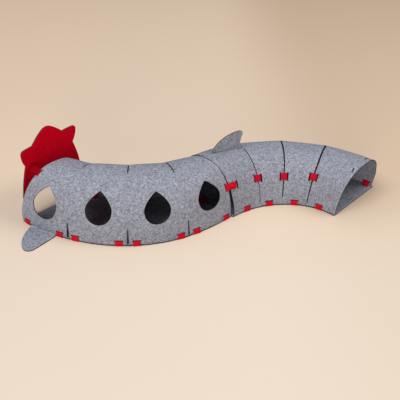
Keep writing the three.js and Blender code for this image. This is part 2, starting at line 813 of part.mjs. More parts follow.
head.add(piece('panel_red', cutAway(panelLayer(0, redFelt), panelCutters), panelRed));
const greyLayer = panelLayer(redFelt + clearance, felt);
head.add(piece('panel_grey', cutAway(greyLayer, panelCutters), greyFelt));
panelStraps.forEach((row) => {
  head.add(piece(`strap_panel_${row.name}`, panelStrap(headWall, row, 0), strapRed));
});
head.add(piece('fin_pectoral', pectoralFin(0), greyFelt));
tail.add(piece('fin_dorsal', dorsalFin(tailWall, 0), greyFelt));

const tunnel = new THREE.Group();
tunnel.add(head, tail);
jointStrapSides.forEach((side) => {
  tunnel.add(piece(`strap_joint_${side.name}`, jointStrap(side.near, 0), strapRed));
});
tunnel.add(piece('strap_joint_floor', floorStrap(0), strapRed));

// The origin is at the middle of the tunnel's footprint, on the ground
tunnel.updateMatrixWorld(true);
const extent = new THREE.Box3().setFromObject(tunnel, true);
const middlePoint = extent.getCenter(new THREE.Vector3());
tunnel.position.set(-middlePoint.x, -middlePoint.y, 0);

export default tunnel;
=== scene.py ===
"""A felt cat tunnel: the sheets, straps, panel and fins that a maker would cut, bent into place on the fixed
frame of the part. Metres and degrees, +Z up."""
from collections import namedtuple
from math import ceil, cos, pi, radians, sin

import bpy
import numpy as np
from bpy.props import FloatProperty, FloatVectorProperty, PointerProperty
from bpy.types import Operator, Panel, PropertyGroup
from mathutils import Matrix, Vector
from mathutils.geometry import delaunay_2d_cdt
from mathutils.kdtree import KDTree


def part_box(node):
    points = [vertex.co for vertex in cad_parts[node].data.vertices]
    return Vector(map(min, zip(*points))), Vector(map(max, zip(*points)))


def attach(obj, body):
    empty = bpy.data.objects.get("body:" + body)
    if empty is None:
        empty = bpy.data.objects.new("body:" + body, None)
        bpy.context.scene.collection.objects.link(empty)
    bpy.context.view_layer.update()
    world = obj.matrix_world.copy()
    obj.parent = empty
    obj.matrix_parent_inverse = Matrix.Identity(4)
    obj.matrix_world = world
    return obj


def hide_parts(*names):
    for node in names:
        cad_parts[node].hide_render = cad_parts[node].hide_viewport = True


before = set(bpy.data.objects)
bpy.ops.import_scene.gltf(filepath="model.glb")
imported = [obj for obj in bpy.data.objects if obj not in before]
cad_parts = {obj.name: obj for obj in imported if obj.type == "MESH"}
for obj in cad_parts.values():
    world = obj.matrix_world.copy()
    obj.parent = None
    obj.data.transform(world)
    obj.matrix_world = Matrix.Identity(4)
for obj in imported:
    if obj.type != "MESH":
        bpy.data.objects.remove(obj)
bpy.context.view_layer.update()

bl_info = {
    "name": "Felt Cat Tunnel",
    "version": (1, 0, 0),
    "blender": (4, 5, 0),
    "location": "View3D > Sidebar > Felt Tunnel",
    "description": "Makes the felt sheets, straps, panel and fins of a cat tunnel on its fixed frame",
    "category": "Object",
}

# What the frame gives: the boxes of the two floors, the thickness of the felt and the middle of the joint
FLOOR_BOXES = [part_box("floor_head"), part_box("floor_tail")]
FELT = round(FLOOR_BOXES[0][1].z - FLOOR_BOXES[0][0].z, 4)
JOINT = np.mean([corner for box in FLOOR_BOXES for corner in box], axis=0) * (1, 1, 0)
BODY = "root"

# Plan of a bend, a quarter ring with its free end at 0 degrees and its joint end at 90
INNER_RADIUS = 0.300
OUTER_RADIUS = 0.600
MIDDLE_RADIUS = (INNER_RADIUS + OUTER_RADIUS) / 2
BEND_ANGLE = 90
JOINT_HEADING = 135
END_TRIM = 0.001
CLEARANCE = 0.0003

# How far the edge of a floor lies outside its circle: angles and distances
EdgeShift = namedtuple("EdgeShift", "angles distances")
ROUND_EDGE = EdgeShift((0, BEND_ANGLE), (0, 0))
HEAD_OUTER_EDGE = EdgeShift(
    (0, 6, 17, 27, 36, 50, 60, 68, 77, 83, 90),
    (0.008, 0.005, 0.001, 0.001, 0.003, 0.006, 0.005, 0.002, -0.004, -0.006, -0.006))
TAIL_INNER_EDGE = EdgeShift(
    (0, 10, 22, 40, 50, 65, 80, 90),
    (0.006, 0.004, 0.0015, 0.005, 0.007, 0.007, 0.007, 0.003))
TAIL_OUTER_EDGE = EdgeShift((0, 6, 15), (-0.005, -0.005, 0))
EDGE_POINTS = 90

# Arched wall sheets
WALL_INSET = 0.001
HALF_SPAN = (OUTER_RADIUS - INNER_RADIUS) / 2 - WALL_INSET - FELT / 2
FOOT = FELT + CLEARANCE
ARCH_POWER = 2.3
LEAN_POWER = 1.5
ARCH_LENGTH = 0.66
ARC_STEPS = 240

# Shares of the rise over which a wall goes over from the round of the bend to straight facets
INNER_STRAIGHT = (0.3, 0.8)
OUTER_STRAIGHT = (0.8, 0.99)

# Sections of a wall: angle from the free end, height of the apex, lean of the apex towards the free end and
# shift of the apex away from the centre of the bend. The sheet is straight between them.
Section = namedtuple("Section", "angle height lean shift")
HEAD_SECTIONS = (
    Section(0, 0.246, -0.060, 0.010),
    Section(19.7, 0.246, -0.034, 0),
    Section(45.3, 0.246, -0.010, -0.005),
    Section(68.6, 0.246, 0.008, 0.008),
    Section(90, 0.241, 0.025, 0.025),
)
TAIL_SECTIONS = (
    Section(0, 0.205, 0.028, -0.020),
    Section(23.6, 0.198, 0.016, -0.004),
    Section(44.6, 0.200, 0.008, 0),
    Section(65, 0.213, -0.006, -0.008),
    Section(90, 0.241, -0.025, -0.025),
)

# Long slits over the top and down the inside of a bend, from a low angle to a high angle and from a start to
# an end in shares of the arch. A strap bridges each at a length up the arch.
Slit = namedtuple("Slit", "low_angle high_angle start end low_width high_width strap_arc")
HEAD_SLITS = (
    Slit(19.7, 19.7, 0.03, 0.515, 0.002, 0.0035, 0.130),
    Slit(45.3, 45.3, 0.03, 0.53, 0.002, 0.0045, 0.130),
    Slit(68.6, 68.6, 0.03, 0.57, 0.002, 0.0045, 0.130),
)
TAIL_SLITS = (
    Slit(24.7, 23.1, 0.02, 0.68, 0.003, 0.008, 0.132),
    Slit(44.7, 44.6, 0.042, 0.68, 0.003, 0.006, 0.124),
    Slit(63.1, 65.7, 0.02, 0.5, 0.0015, 0.003, 0.131),
)
SLIT_STATIONS = 24
SLIT_TIP_SHARE = 0.15

# Short slits up from the outer foot: angle, width at the foot and at the upper end, and how far the foot
# leans along the bend
FootSlit = namedtuple("FootSlit", "angle low_width high_width lean")
FOOT_SLITS = (
    FootSlit(22.3, 0.011, 0.0035, 0.004),
    FootSlit(45.8, 0.009, 0.0035, 0.001),
    FootSlit(69.1, 0.006, 0.0025, 0),
)
FOOT_SLIT_HEIGHT = 0.072

# Teardrop windows of the head bend: angle of the middle, turn from sill to tip, length up the wall to the
# sill, height and width, and the half outline from sill to tip in shares of half width and height
Window = namedtuple("Window", "angle tilt sill height width")
WINDOWS = (
    Window(10.95, -1.8, 0.0615, 0.1425, 0.1185),
    Window(34.3, -0.8, 0.084, 0.135, 0.112),
    Window(57.6, 0.5, 0.084, 0.128, 0.1085),
    Window(79.8, 0.4, 0.0805, 0.126, 0.1085),
)
Curve = namedtuple("Curve", "first second end")
TEARDROP_CURVES = (
    Curve((0.55, 0), (0.96, 0.17), (1, 0.42)),
    Curve((1.03, 0.625), (0.46, 0.88), (0, 1)),
)
CURVE_STEPS = 12

# Straps: a foot strap goes level through the wall and slopes down to its slot in the floor, a slit strap
# bridges a long slit and is narrower inside the wall, and floors and feet rise over the straps under them
STRAP_FELT = 0.002
FOOT_STRAP_HEIGHT = 0.022
FOOT_STRAP_REACH = 0.019
FOOT_STRAP_LEVEL = 0.006
FOOT_STRAP_ROUNDING = 0.0022
END_STRAP_ANGLE = 3
PAIRED_STRAP_OFFSET = 3.3
INNER_STRAP_ANGLES = (14.6, 34.6, 55.4, 75.2)
SLIT_STRAP_SPAN = 0.025
STRAP_SLACK = 0.001
SLIT_STRAP_SLACK = 0.002
SLIT_STRAP_INNER_SHARE = 0.66
END_ROUNDING = 0.005
JOINT_STRAP_ARC = 0.146
JOINT_STRAP_HEAD_REACH = 0.013
JOINT_STRAP_TAIL_REACH = 0.040
FLOOR_STRAP_REACH = 0.021
FLOOR_STRAP_SHIFT = 0.016
STRAP_LIFT = 0.0023
STRAP_LIFT_SPREAD = 0.028
STRAP_LIFT_POWER = 4
STRAP_LIFT_REACH = 0.050
STRAP_SEED = 7

# Rounding of a strap: points on a corner of its path, and on an edge of its section with the share of the
# felt that is rounded
BAND_CORNER_POINTS = 4
BAND_EDGE_POINTS = 2
BAND_EDGE_SHARE = 0.3

# Slots are longer and wider than the straps that go through them. A slot in a wall lies a little outside the
# end of its strap.
SLOT_PLAY = 0.001
SLOT_WIDTH = 0.0036
WALL_SLOT_PLAY = 0.0025
WALL_SLOT_WIDTH = 0.006
WALL_SLOT_SHIFT = 0.0012
FOOT_SLOT_INSET = 0.0198
FOOT_SLOT_WIDTH = 0.0065

# Empty slots at the tail end: length up the arch, distance of either end from the wall's end and length. One
# more is in the floor.
EmptySlot = namedtuple("EmptySlot", "arc low_inset high_inset length")
EMPTY_SLOTS = (EmptySlot(0.215, 0.012, 0.018, 0.022), EmptySlot(0.320, 0.020, 0.020, 0.024))
EMPTY_SLOT_WIDTH = 0.005
FLOOR_SLOT_PLACE = (0.443, 0.017)
FLOOR_SLOT_LENGTH = 0.022
FLOOR_SLOT_WIDTH = 0.003

# The tail wall stands back from the joint at its near foot
JOINT_GAP_FOOT = 0.009
JOINT_GAP_TOP = 0.003
JOINT_GAP_ARC = 0.146

# The corner of the tail wall at the outer foot of its free end stands back
CORNER_SET_BACK = 0.0075
CORNER_ARC = 0.070

# Head panel. Its half outline runs from the top down: hump, top of the ear, tip of the ear, side of the ear
# and side
PANEL_YAW = 7.5
PANEL_PITCH = 4.4
PANEL_MIDDLE = 0.428
PANEL_CLEARANCE = 0.004
PANEL_BOW = 0.016
PANEL_FOOT_HALF_WIDTH = 0.160
PANEL_TOP = (0, 0.357)
PANEL_CURVES = (
    Curve((0.022, 0.357), (0.052, 0.331), (0.0805, 0.3045)),
    Curve((0.097, 0.3065), (0.115, 0.3085), (0.130, 0.3085)),
    Curve((0.139, 0.3085), (0.1445, 0.302), (0.1442, 0.293)),
    Curve((0.144, 0.275), (0.138, 0.253), (0.1265, 0.236)),
    Curve((0.142, 0.190), (0.168, 0.120), (PANEL_FOOT_HALF_WIDTH, 0)),
)
MOUTH_HALF_WIDTH = 0.135
MOUTH_HEIGHT = 0.140
MOUTH_STEPS = 40

# Straps of the head panel: length up the arch from the outer or the inner foot
PanelStrap = namedtuple("PanelStrap", "name arc from_outer")
PANEL_STRAPS = (PanelStrap("near", 0.242, True), PanelStrap("far", 0.150, False))
PANEL_STRAP_INSET = 0.009
PANEL_STRAP_TAIL = 0.010
PANEL_STRAP_BEND = 0.004

# Dorsal fin on the ridge of the tail bend: where its base starts and where it points, each an angle and a
# share of the arch, then its leading edge, tip and trailing edge along the ridge and above it
RidgePoint = namedtuple("RidgePoint", "angle share")
DORSAL_FROM = RidgePoint(83.6, 0.544)
DORSAL_TO = RidgePoint(67, 0.502)
DORSAL_CURVES = (
    Curve((0.002, 0.034), (0.048, 0.072), (0.110, 0.082)),
    Curve((0.122, 0.084), (0.140, 0.080), (0.138, 0.068)),
    Curve((0.134, 0.048), (0.121, 0.026), (0.146, 0)),
)
DORSAL_TAB_START = 0.045
DORSAL_TAB_END = 0.100
DORSAL_TAB_DEPTH = 0.014
DORSAL_LIFT = 0.001

# Pectoral fin, flat on the ground beside the head bend, its root tucked between wall and floor
PECTORAL_ANGLE = 5.2
PECTORAL_ROOT = 0.128
PECTORAL_REACH = 0.133
PECTORAL_SWEEP = 0.086
PECTORAL_SWEEP_POWER = 1.45
PECTORAL_TAPER = 0.18
PECTORAL_TIP_RADIUS = 0.020
PECTORAL_TIP_WIDTH = 0.001
PECTORAL_TUCK = 0.020
PECTORAL_DROP = 0.012
PECTORAL_STEPS = 24
PECTORAL_NOTCH = 0.0048

# Mesh of a sheet: spacing of its points, and the rounding of a cut edge as rows of inset and depth, both in
# shares of the rounding
WALL_SPACING = 0.0062
FLAT_SPACING = 0.008
SMALL_SPACING = 0.004
EDGE_ROUNDING = 0.0008
EDGE_ROWS = ((0.3, 0.3), (0, 1))
CLEAR_SHARE = 0.45
LEAST_AREA = 1e-10
LEAST_LENGTH = 1e-9

# Slow waves of the felt: waves along the bend, waves up the arch, phase and height
Wave = namedtuple("Wave", "along up phase height")
WAVES = (
    Wave(2.3, 1.7, 0.4, 0.0009),
    Wave(4.1, 2.9, 2.1, 0.0006),
    Wave(7.3, 1.1, 4.6, 0.0005),
    Wave(3.7, 5.3, 1.3, 0.0004),
)

# The outside of the head wall bulges a little at its free end, over a share of the arch
END_BULGE = 0.005
END_BULGE_ANGLE = 11
END_BULGE_SHARES = (0.66, 0.84)

# Grain of the felt: its values at the darkest, mean and lightest shade, the noise of the tufts, the turns,
# narrowing and share of the crossing fibres, and the strength and depth of the relief
GRAIN_STOPS = (0.36, 0.5, 0.64)
TUFT_NOISE = {"Detail": 3, "Roughness": 0.6, "Distortion": 0.8}
FIBRE_TURNS = ((0.4, 0.9, 0.2), (1.3, 0.3, 1.1), (0.2, 1.5, 2.0))
FIBRE_NARROWING = 0.18
FIBRE_SHARE = 0.15
GRAIN_STRENGTH = 0.5
GRAIN_DEPTH = 0.0012

# Contrast of the grain and strength of the nap on grey and on red felt, tints of the faint blotches, the
# painted shade on a red sheet's cut edge, and how matt the felt is
GREY_CONTRAST = 0.54
RED_CONTRAST = 0.2
GREY_NAP = 0.08
RED_NAP = 0.05
NAP_ROUGHNESS = 0.6
BLOTCH_RANGE = (0.3, 0.7)
BLOTCH_DARK = (0.95, 0.93, 0.95)
BLOTCH_LIGHT = (1.03, 1.05, 1.06)
RED_EDGE_SHADE = 0.6
FELT_ROUGHNESS = (0.85, 1.0)
FELT_SHINE = 0.05

# The camera stands where it sees the tunnel at the photograph's angle
CAMERA_ELEVATION = 34.57
CAMERA_DISTANCE = 2.694
CAMERA_TURN = -1.43
LOOK_AT_OFFSET = (-0.0249, 0.0207)
SENSOR_WIDTH = 36

# Soft light from high over the front left, a low fill from far in front and a light from high on the right,
# both a little warm, and light from overhead that fades out towards the horizon
KEY_PLACE = (-5.0, -5.4, 10.6)
FILL_PLACE = (-1.2, -8.7, 1.95)
FILL_SIZE = 3.6
SIDE_PLACE = (3.2, -0.3, 3.6)
SIDE_SIZE = 2.5
FILL_COLOUR = (1, 0.95, 0.90)
SKY_FROM = 0.3

# The ground has painted light and shade: paler in front of the tunnel and a painted shadow on its right.
# Shares of the depth with their tints, and for each side where its tint starts and is full, the share of it
# in front of the tunnel, and the tint
GROUND_ROUGHNESS = 0.9
GROUND_NEAR = -0.5
GROUND_FAR = 2.6
GROUND_PAINTED_LIGHT = (
    (0, (1.02, 1.065, 1.10)),
    (0.18, (1.03, 1.01, 1.00)),
    (0.45, (1.02, 1.00, 0.99)),
    (1, (1.07, 1.03, 0.99)),
)
GroundPaintedShade = namedtuple("GroundPaintedShade", "start full front_share tint")
GROUND_PAINTED_SHADE = (
    GroundPaintedShade(-0.35, -1.0, 0, (1.01, 1.00, 0.99)),
    GroundPaintedShade(0.1, 0.8, 0.35, (0.83, 0.80, 0.76)),
)
GROUND_PAINTED_SHADE_FROM = (-0.3, 0.15)


class FeltSettings(PropertyGroup):
    """Colours and grain of the felt"""
    grey: FloatVectorProperty(
        name="Grey felt", description="Mean colour of the grey sheets", subtype="COLOR",
        default=(0.236, 0.248, 0.289), min=0, max=1)
    # The panel's own deep red, with painted light: set lighter than the straps' red so that its face looks
    # lit
    panel_red: FloatVectorProperty(
        name="Panel red", description="Colour of the head panel's red sheet", subtype="COLOR",
        default=(0.55, 0.0014, 0.021), min=0, max=1)
    strap_red: FloatVectorProperty(
        name="Strap red", description="Colour of the straps", subtype="COLOR",
        default=(0.45, 0.011, 0.028), min=0, max=1)
    # Painted shade: the straps over the long slits are the strap felt made darker, standing in for shade on
    # them
    slit_strap_red: FloatVectorProperty(
        name="Slit strap red", description="Colour of the straps over the long slits", subtype="COLOR",
        default=(0.38, 0.009, 0.027), min=0, max=1)
    # Painted shade: the panel's straps are the strap felt made far darker, standing in for the shade by the
    # wall
    panel_strap_red: FloatVectorProperty(
        name="Panel strap red", description="Colour of the two straps of the head panel", subtype="COLOR",
        default=(0.23, 0.001, 0.011), min=0, max=1)
    # Painted shade: cut edges far darker than the felt stand in for the shade along each edge and in slots
    cut_edge: FloatVectorProperty(
        name="Cut edge", description="Colour of the cut edges of the grey sheets", subtype="COLOR",
        default=(0.045, 0.030, 0.020), min=0, max=1)
    blotch_size: FloatProperty(
        name="Blotch size", description="Size of the faint blotches of the felt",
        default=0.025, min=0.005, max=0.2, unit="LENGTH")
    tuft_size: FloatProperty(
        name="Tuft size", description="Size of the light and dark tufts of the felt",
        default=0.007, min=0.001, max=0.05, unit="LENGTH")
    fibre_size: FloatProperty(
        name="Fibre size", description="Width of the fibres that show in the felt",
        default=0.0016, min=0.0002, max=0.01, unit="LENGTH")


class StrapSettings(PropertyGroup):
    """Sizes of the straps"""
    width: FloatProperty(
        name="Strap width", description="Width of a strap", default=0.029, min=0.005, max=0.1, unit="LENGTH")
    unevenness: FloatProperty(
        name="Unevenness", description="Largest turn of a strap out of true", default=radians(1.6),
        min=0, max=0.2, subtype="ANGLE")


class StageSettings(PropertyGroup):
    """Ground, light and camera"""
    ground: FloatVectorProperty(
        name="Ground", description="Colour of the ground", subtype="COLOR",
        default=(0.62, 0.517, 0.421), min=0, max=1)
    ground_size: FloatProperty(
        name="Ground size", description="Side of the square ground", default=16, min=2, max=50, unit="LENGTH")
    lens: FloatProperty(
        name="Lens", description="Focal length of the camera, in millimetres", default=56.75, min=10, max=300)
    key_power: FloatProperty(
        name="Key light", description="Power of the large soft light high over the front left",
        default=880, min=0, max=10000, unit="POWER")
    key_size: FloatProperty(
        name="Key size", description="Side of the large soft light",
        default=6.5, min=0.1, max=20, unit="LENGTH")
    fill_power: FloatProperty(
        name="Fill light", description="Power of the low soft light far in front",
        default=320, min=0, max=1000, unit="POWER")
    side_power: FloatProperty(
        name="Side light", description="Power of the soft light high on the right",
        default=80, min=0, max=1000, unit="POWER")
    horizon: FloatProperty(
        name="Horizon light", description="Strength of the light from the horizon",
        default=0.03, min=0, max=5)
    sky: FloatProperty(
        name="Overhead light", description="Strength of the light from straight above",
        default=0.64, min=0, max=5)


# The way up, and the corners of a rectangle in order
UP = np.array((0.0, 0.0, 1.0))
BOX_CORNERS = ((-1, -1), (1, -1), (1, 1), (-1, 1))


# Small helpers
def mix(a, b, share):
    return a + (b - a) * share


def ease(start, end, value):
    """0 before the start, 1 after the end and smooth between."""
    share = np.clip((value - start) / (end - start), 0, 1)
    return share * share * (3 - 2 * share)


def unit(vector):
    return vector / np.linalg.norm(vector, axis=-1, keepdims=True)


def radial(angle):
    turn = np.radians(np.asarray(angle, float))
    return np.stack((np.cos(turn), np.sin(turn), np.zeros_like(turn)), axis=-1)


def tangent(angle):
    turn = np.radians(np.asarray(angle, float))
    return np.stack((-np.sin(turn), np.cos(turn), np.zeros_like(turn)), axis=-1)


def turn_of(length, radius):
    """The angle of a length along a circle."""
    return np.degrees(length / radius)


def lift_beside(away):
    """How far felt is raised at a distance from the middle of a strap that passes under it."""
    return STRAP_LIFT * np.exp(-(away / STRAP_LIFT_SPREAD) ** STRAP_LIFT_POWER)


def arch(row, angle, share, foot_shift):
    """Points on the arch of a section, and their share of its rise. The feet are shifted along the radius."""
    turn = pi * share
    cosine = np.cos(turn)
    across = -np.sign(cosine) * np.abs(cosine) ** (2 / ARCH_POWER) * HALF_SPAN
    rise = np.abs(np.sin(turn)) ** (2 / ARCH_POWER)
    height, lean, shift = row[..., 1], row[..., 2], row[..., 3]
    radius = MIDDLE_RADIUS + across + shift * rise ** 2 + foot_shift * (1 - rise)
    point = radial(angle) * radius[..., None] - tangent(angle) * (lean * rise ** LEAN_POWER)[..., None]
    point[..., 2] = mix(FOOT, height - FELT / 2, rise)
    return point, rise


class Bend:
    """One bend of the tunnel: its place in the part, its floor and the surface of its wall."""

    def __init__(self, name, heading, sections, slits, inner_edge, outer_edge):
        self.name = name
        self.slits = slits
        self.edges = (inner_edge, outer_edge)
        self.rows = np.array(sections, float)
        turn = radians(heading - BEND_ANGLE)
        self.turn = np.array(((cos(turn), -sin(turn), 0), (sin(turn), cos(turn), 0), (0, 0, 1)))
        self.centre = JOINT - MIDDLE_RADIUS * radial(heading)
        paired = [slit.angle + side * PAIRED_STRAP_OFFSET for slit in FOOT_SLITS for side in (-1, 1)]
        self.outer_straps = np.array((END_STRAP_ANGLE, *paired, BEND_ANGLE - END_STRAP_ANGLE))
        self.inner_straps = np.array(INNER_STRAP_ANGLES)

    def foot_straps(self):
        """The angle of each foot strap, whether it is on the outer foot, and its way out along the radius."""
        for angles, outer, side in ((self.outer_straps, True, 1), (self.inner_straps, False, -1)):
            for angle in angles:
                yield angle, outer, side

    def to_part(self, points):
        return points @ self.turn.T + self.centre

    def aim(self, direction):
        """A direction of the bend's own frame, in the part."""
        return direction @ self.turn.T

    def edge_shift(self, angle, outer):
        """How far the inner or the outer edge of the floor lies outside its circle."""
        edge = self.edges[outer]
        return np.interp(angle, edge.angles, edge.distances)

    def edge_radius(self, angle, outer):
        if outer:
            return OUTER_RADIUS + self.edge_shift(angle, True)
        return INNER_RADIUS - self.edge_shift(angle, False)

    def foot_shift(self, angle, share):
        """How far the foot of the wall moves along the radius with the edge of the floor."""
        return np.where(share < 0.5, -self.edge_shift(angle, False), self.edge_shift(angle, True))

    def middle(self, angle, share):
        """Points in the middle of the wall's sheet, in the bend's own frame."""
        angle, share = np.broadcast_arrays(np.asarray(angle, float), np.asarray(share, float))
        cuts = self.rows[:, 0]
        index = np.clip(np.searchsorted(cuts, angle) - 1, 0, len(cuts) - 2)
        low, high = self.rows[index], self.rows[index + 1]
        part = ((angle - low[..., 0]) / (high[..., 0] - low[..., 0]))[..., None]
        rounded, rise = arch(mix(low, high, part), angle, share, self.foot_shift(angle, share))
        ends = [arch(row, row[..., 0], share, self.foot_shift(row[..., 0], share))[0] for row in (low, high)]
        chord = mix(*ends, part)
        straight = np.where(share < 0.5, ease(*INNER_STRAIGHT, rise), ease(*OUTER_STRAIGHT, rise))
        return mix(rounded, chord, straight[..., None])

    def normal(self, angle, share):
        """Outward directions of the wall."""
        angle_step, share_step = 0.4, 0.004
        along = self.middle(angle + angle_step, share) - self.middle(angle - angle_step, share)
        lower, upper = np.maximum(0, share - share_step), np.minimum(1, share + share_step)
        around = self.middle(angle, upper) - self.middle(angle, lower)
        return unit(np.cross(around, along))

    def lift(self, angle, outer):
        """How far the straps that pass under a floor's edge raise it and the foot on it."""
        straps, radius = (self.outer_straps, OUTER_RADIUS) if outer else (self.inner_straps, INNER_RADIUS)
        away = np.radians(np.asarray(angle)[..., None] - straps) * radius
        return lift_beside(away).max(axis=-1)

    def wall(self, angle, share, depth):
        """Points of the wall's sheet in the part, at a depth along its outward normal."""
        angle, share = np.broadcast_arrays(np.asarray(angle, float), np.asarray(share, float))
        wave = sum(
            row.height * np.sin(row.along * np.radians(angle) * 2 + row.up * pi * share * 2 + row.phase)
            for row in WAVES)
        bare = self.middle(angle, share)
        above = ease(FOOT, FOOT + STRAP_LIFT_REACH, bare[..., 2])
        out = depth + wave * above
        if self.name == "head":
            bulge = END_BULGE * np.exp(-(angle / END_BULGE_ANGLE) ** 2)
            out = out + bulge * ease(*END_BULGE_SHARES, share) * above
        place = bare + self.normal(angle, share) * out[..., None]
        foot_lift = np.where(share < 0.5, self.lift(angle, False), self.lift(angle, True))
        place[..., 2] += foot_lift * (1 - above)
        return self.to_part(place)

    def share_at(self, angle, arc, from_outer):
        """Share of the arch at a length from the inner foot, or from the outer foot."""
        shares = np.linspace(0, 1, ARC_STEPS + 1)
        if from_outer:
            shares = shares[::-1]
        steps = np.linalg.norm(np.diff(self.middle(angle, shares), axis=0), axis=1)
        return np.interp(arc, np.concatenate(((0,), np.cumsum(steps))), shares)

    def radius_at(self, angle, share):
        return np.linalg.norm(self.middle(angle, share)[..., :2], axis=-1)

    def flat(self, angle, share):
        """A point of the wall in the flat drawing that its outline is cut from."""
        return np.array((np.radians(angle) * MIDDLE_RADIUS, share * ARCH_LENGTH))

    def slot(self, angle, share, along_length, up_length):
        """A slot in the wall's drawing, with its lengths along the bend and up the arch."""
        step = 1e-3
        ends = [self.middle(angle, share + side * step) for side in (-1, 1)]
        per_share = np.linalg.norm(ends[1] - ends[0]) / (2 * step)
        half_turn = turn_of(along_length / 2, self.radius_at(angle, share))
        half_share = up_length / 2 / per_share
        return [self.flat(angle + a * half_turn, share + b * half_share) for a, b in BOX_CORNERS]

    def slit_middle(self, slit, share):
        """Angle of a long slit at a share of the arch."""
        return mix(slit.low_angle, slit.high_angle, (share - slit.start) / (slit.end - slit.start))

    def slit_strap_place(self, slit):
        """Angle and share of the arch where a strap bridges a long slit."""
        share = self.share_at((slit.low_angle + slit.high_angle) / 2, slit.strap_arc, False)
        return self.slit_middle(slit, share), share


HEAD = Bend("head", JOINT_HEADING + 180, HEAD_SECTIONS, HEAD_SLITS, ROUND_EDGE, HEAD_OUTER_EDGE)
TAIL = Bend("tail", JOINT_HEADING, TAIL_SECTIONS, TAIL_SLITS, TAIL_INNER_EDGE, TAIL_OUTER_EDGE)


# Flat outlines
def follow(start, curves):
    """Points along a run of curves from a start, without the start."""
    points = []
    here = np.array(start, float)
    shares = np.linspace(0, 1, CURVE_STEPS + 1)[1:, None]
    for first, second, end in np.array(curves, float):
        points.extend(
            here * (1 - shares) ** 3 + 3 * first * shares * (1 - shares) ** 2
            + 3 * second * shares ** 2 * (1 - shares) + end * shares ** 3)
        here = end
    return points


def mirrored(points):
    """The points of a half outline seen in a mirror, from its end back to its start."""
    return [point * (-1, 1) for point in reversed(points)]


def evenly(outline, spacing):
    """A closed outline with points no further apart than the spacing."""
    points = []
    for here, there in zip(outline, [*outline[1:], outline[0]]):
        steps = max(1, ceil(np.linalg.norm(np.subtract(there, here)) / spacing))
        points.extend(mix(np.asarray(here, float), np.asarray(there, float), i / steps) for i in range(steps))
    return np.array(points)


def signed_area(loop):
    ahead = np.roll(loop, -1, axis=0)
    return np.sum(loop[:, 0] * ahead[:, 1] - ahead[:, 0] * loop[:, 1]) / 2


def inside(points, loops):
    """Which points lie inside the first loop and outside the others."""
    state = np.zeros(len(points), bool)
    x, y = points[:, 0, None], points[:, 1, None]
    for loop in loops:
        here, there = loop, np.roll(loop, -1, axis=0)
        rise = np.where(there[:, 1] == here[:, 1], 1, there[:, 1] - here[:, 1])
        crossed = (here[:, 1] > y) != (there[:, 1] > y)
        at = here[:, 0] + (y - here[:, 1]) / rise * (there[:, 0] - here[:, 0])
        state ^= (crossed & (x < at)).sum(axis=1) % 2 == 1
    return state


def grid_inside(loops, spacing):
    """Points of an even triangular grid inside the outlines and clear of them."""
    low, high = loops[0].min(axis=0), loops[0].max(axis=0)
    row_step = spacing * sin(pi / 3)
    halfway = [(loop + np.roll(loop, -1, axis=0)) / 2 for loop in loops]
    rim = np.concatenate((*loops, *halfway))
    tree = KDTree(len(rim))
    for i, point in enumerate(rim):
        tree.insert((*point, 0), i)
    tree.balance()
    kept = []
    for i, y in enumerate(np.arange(low[1] + row_step / 2, high[1], row_step)):
        x = np.arange(low[0] + (i % 2) * spacing / 2, high[0], spacing)
        row = np.stack((x, np.full_like(x, y)), axis=1)
        row = row[inside(row, loops)]
        kept.extend(point for point in row if tree.find((*point, 0))[2] > CLEAR_SHARE * spacing)
    return np.array(kept).reshape(-1, 2)


def kept_triangles(triangles, edges, flat, loops):
    """The triangles inside the outlines. Those on points of the rim only are told by the way they run along
    it, and those with no area lie along a straight side."""
    ahead = np.full(len(flat), -1)
    ahead[edges[:, 0]] = edges[:, 1]
    following = np.roll(triangles, -1, axis=1)
    along = (ahead[triangles] == following).any(axis=1)
    against = (ahead[following] == triangles).any(axis=1)
    on_rim = (ahead[triangles] >= 0).all(axis=1)
    keep = ~on_rim | along
    unsure = on_rim & ~along & ~against
    corners = flat[triangles[unsure]]
    sides = corners[:, 1:] - corners[:, :1]
    wide = np.abs(np.linalg.det(sides)) > LEAST_AREA
    keep[unsure] = wide & inside(corners.mean(axis=1), loops)
    return triangles[keep]


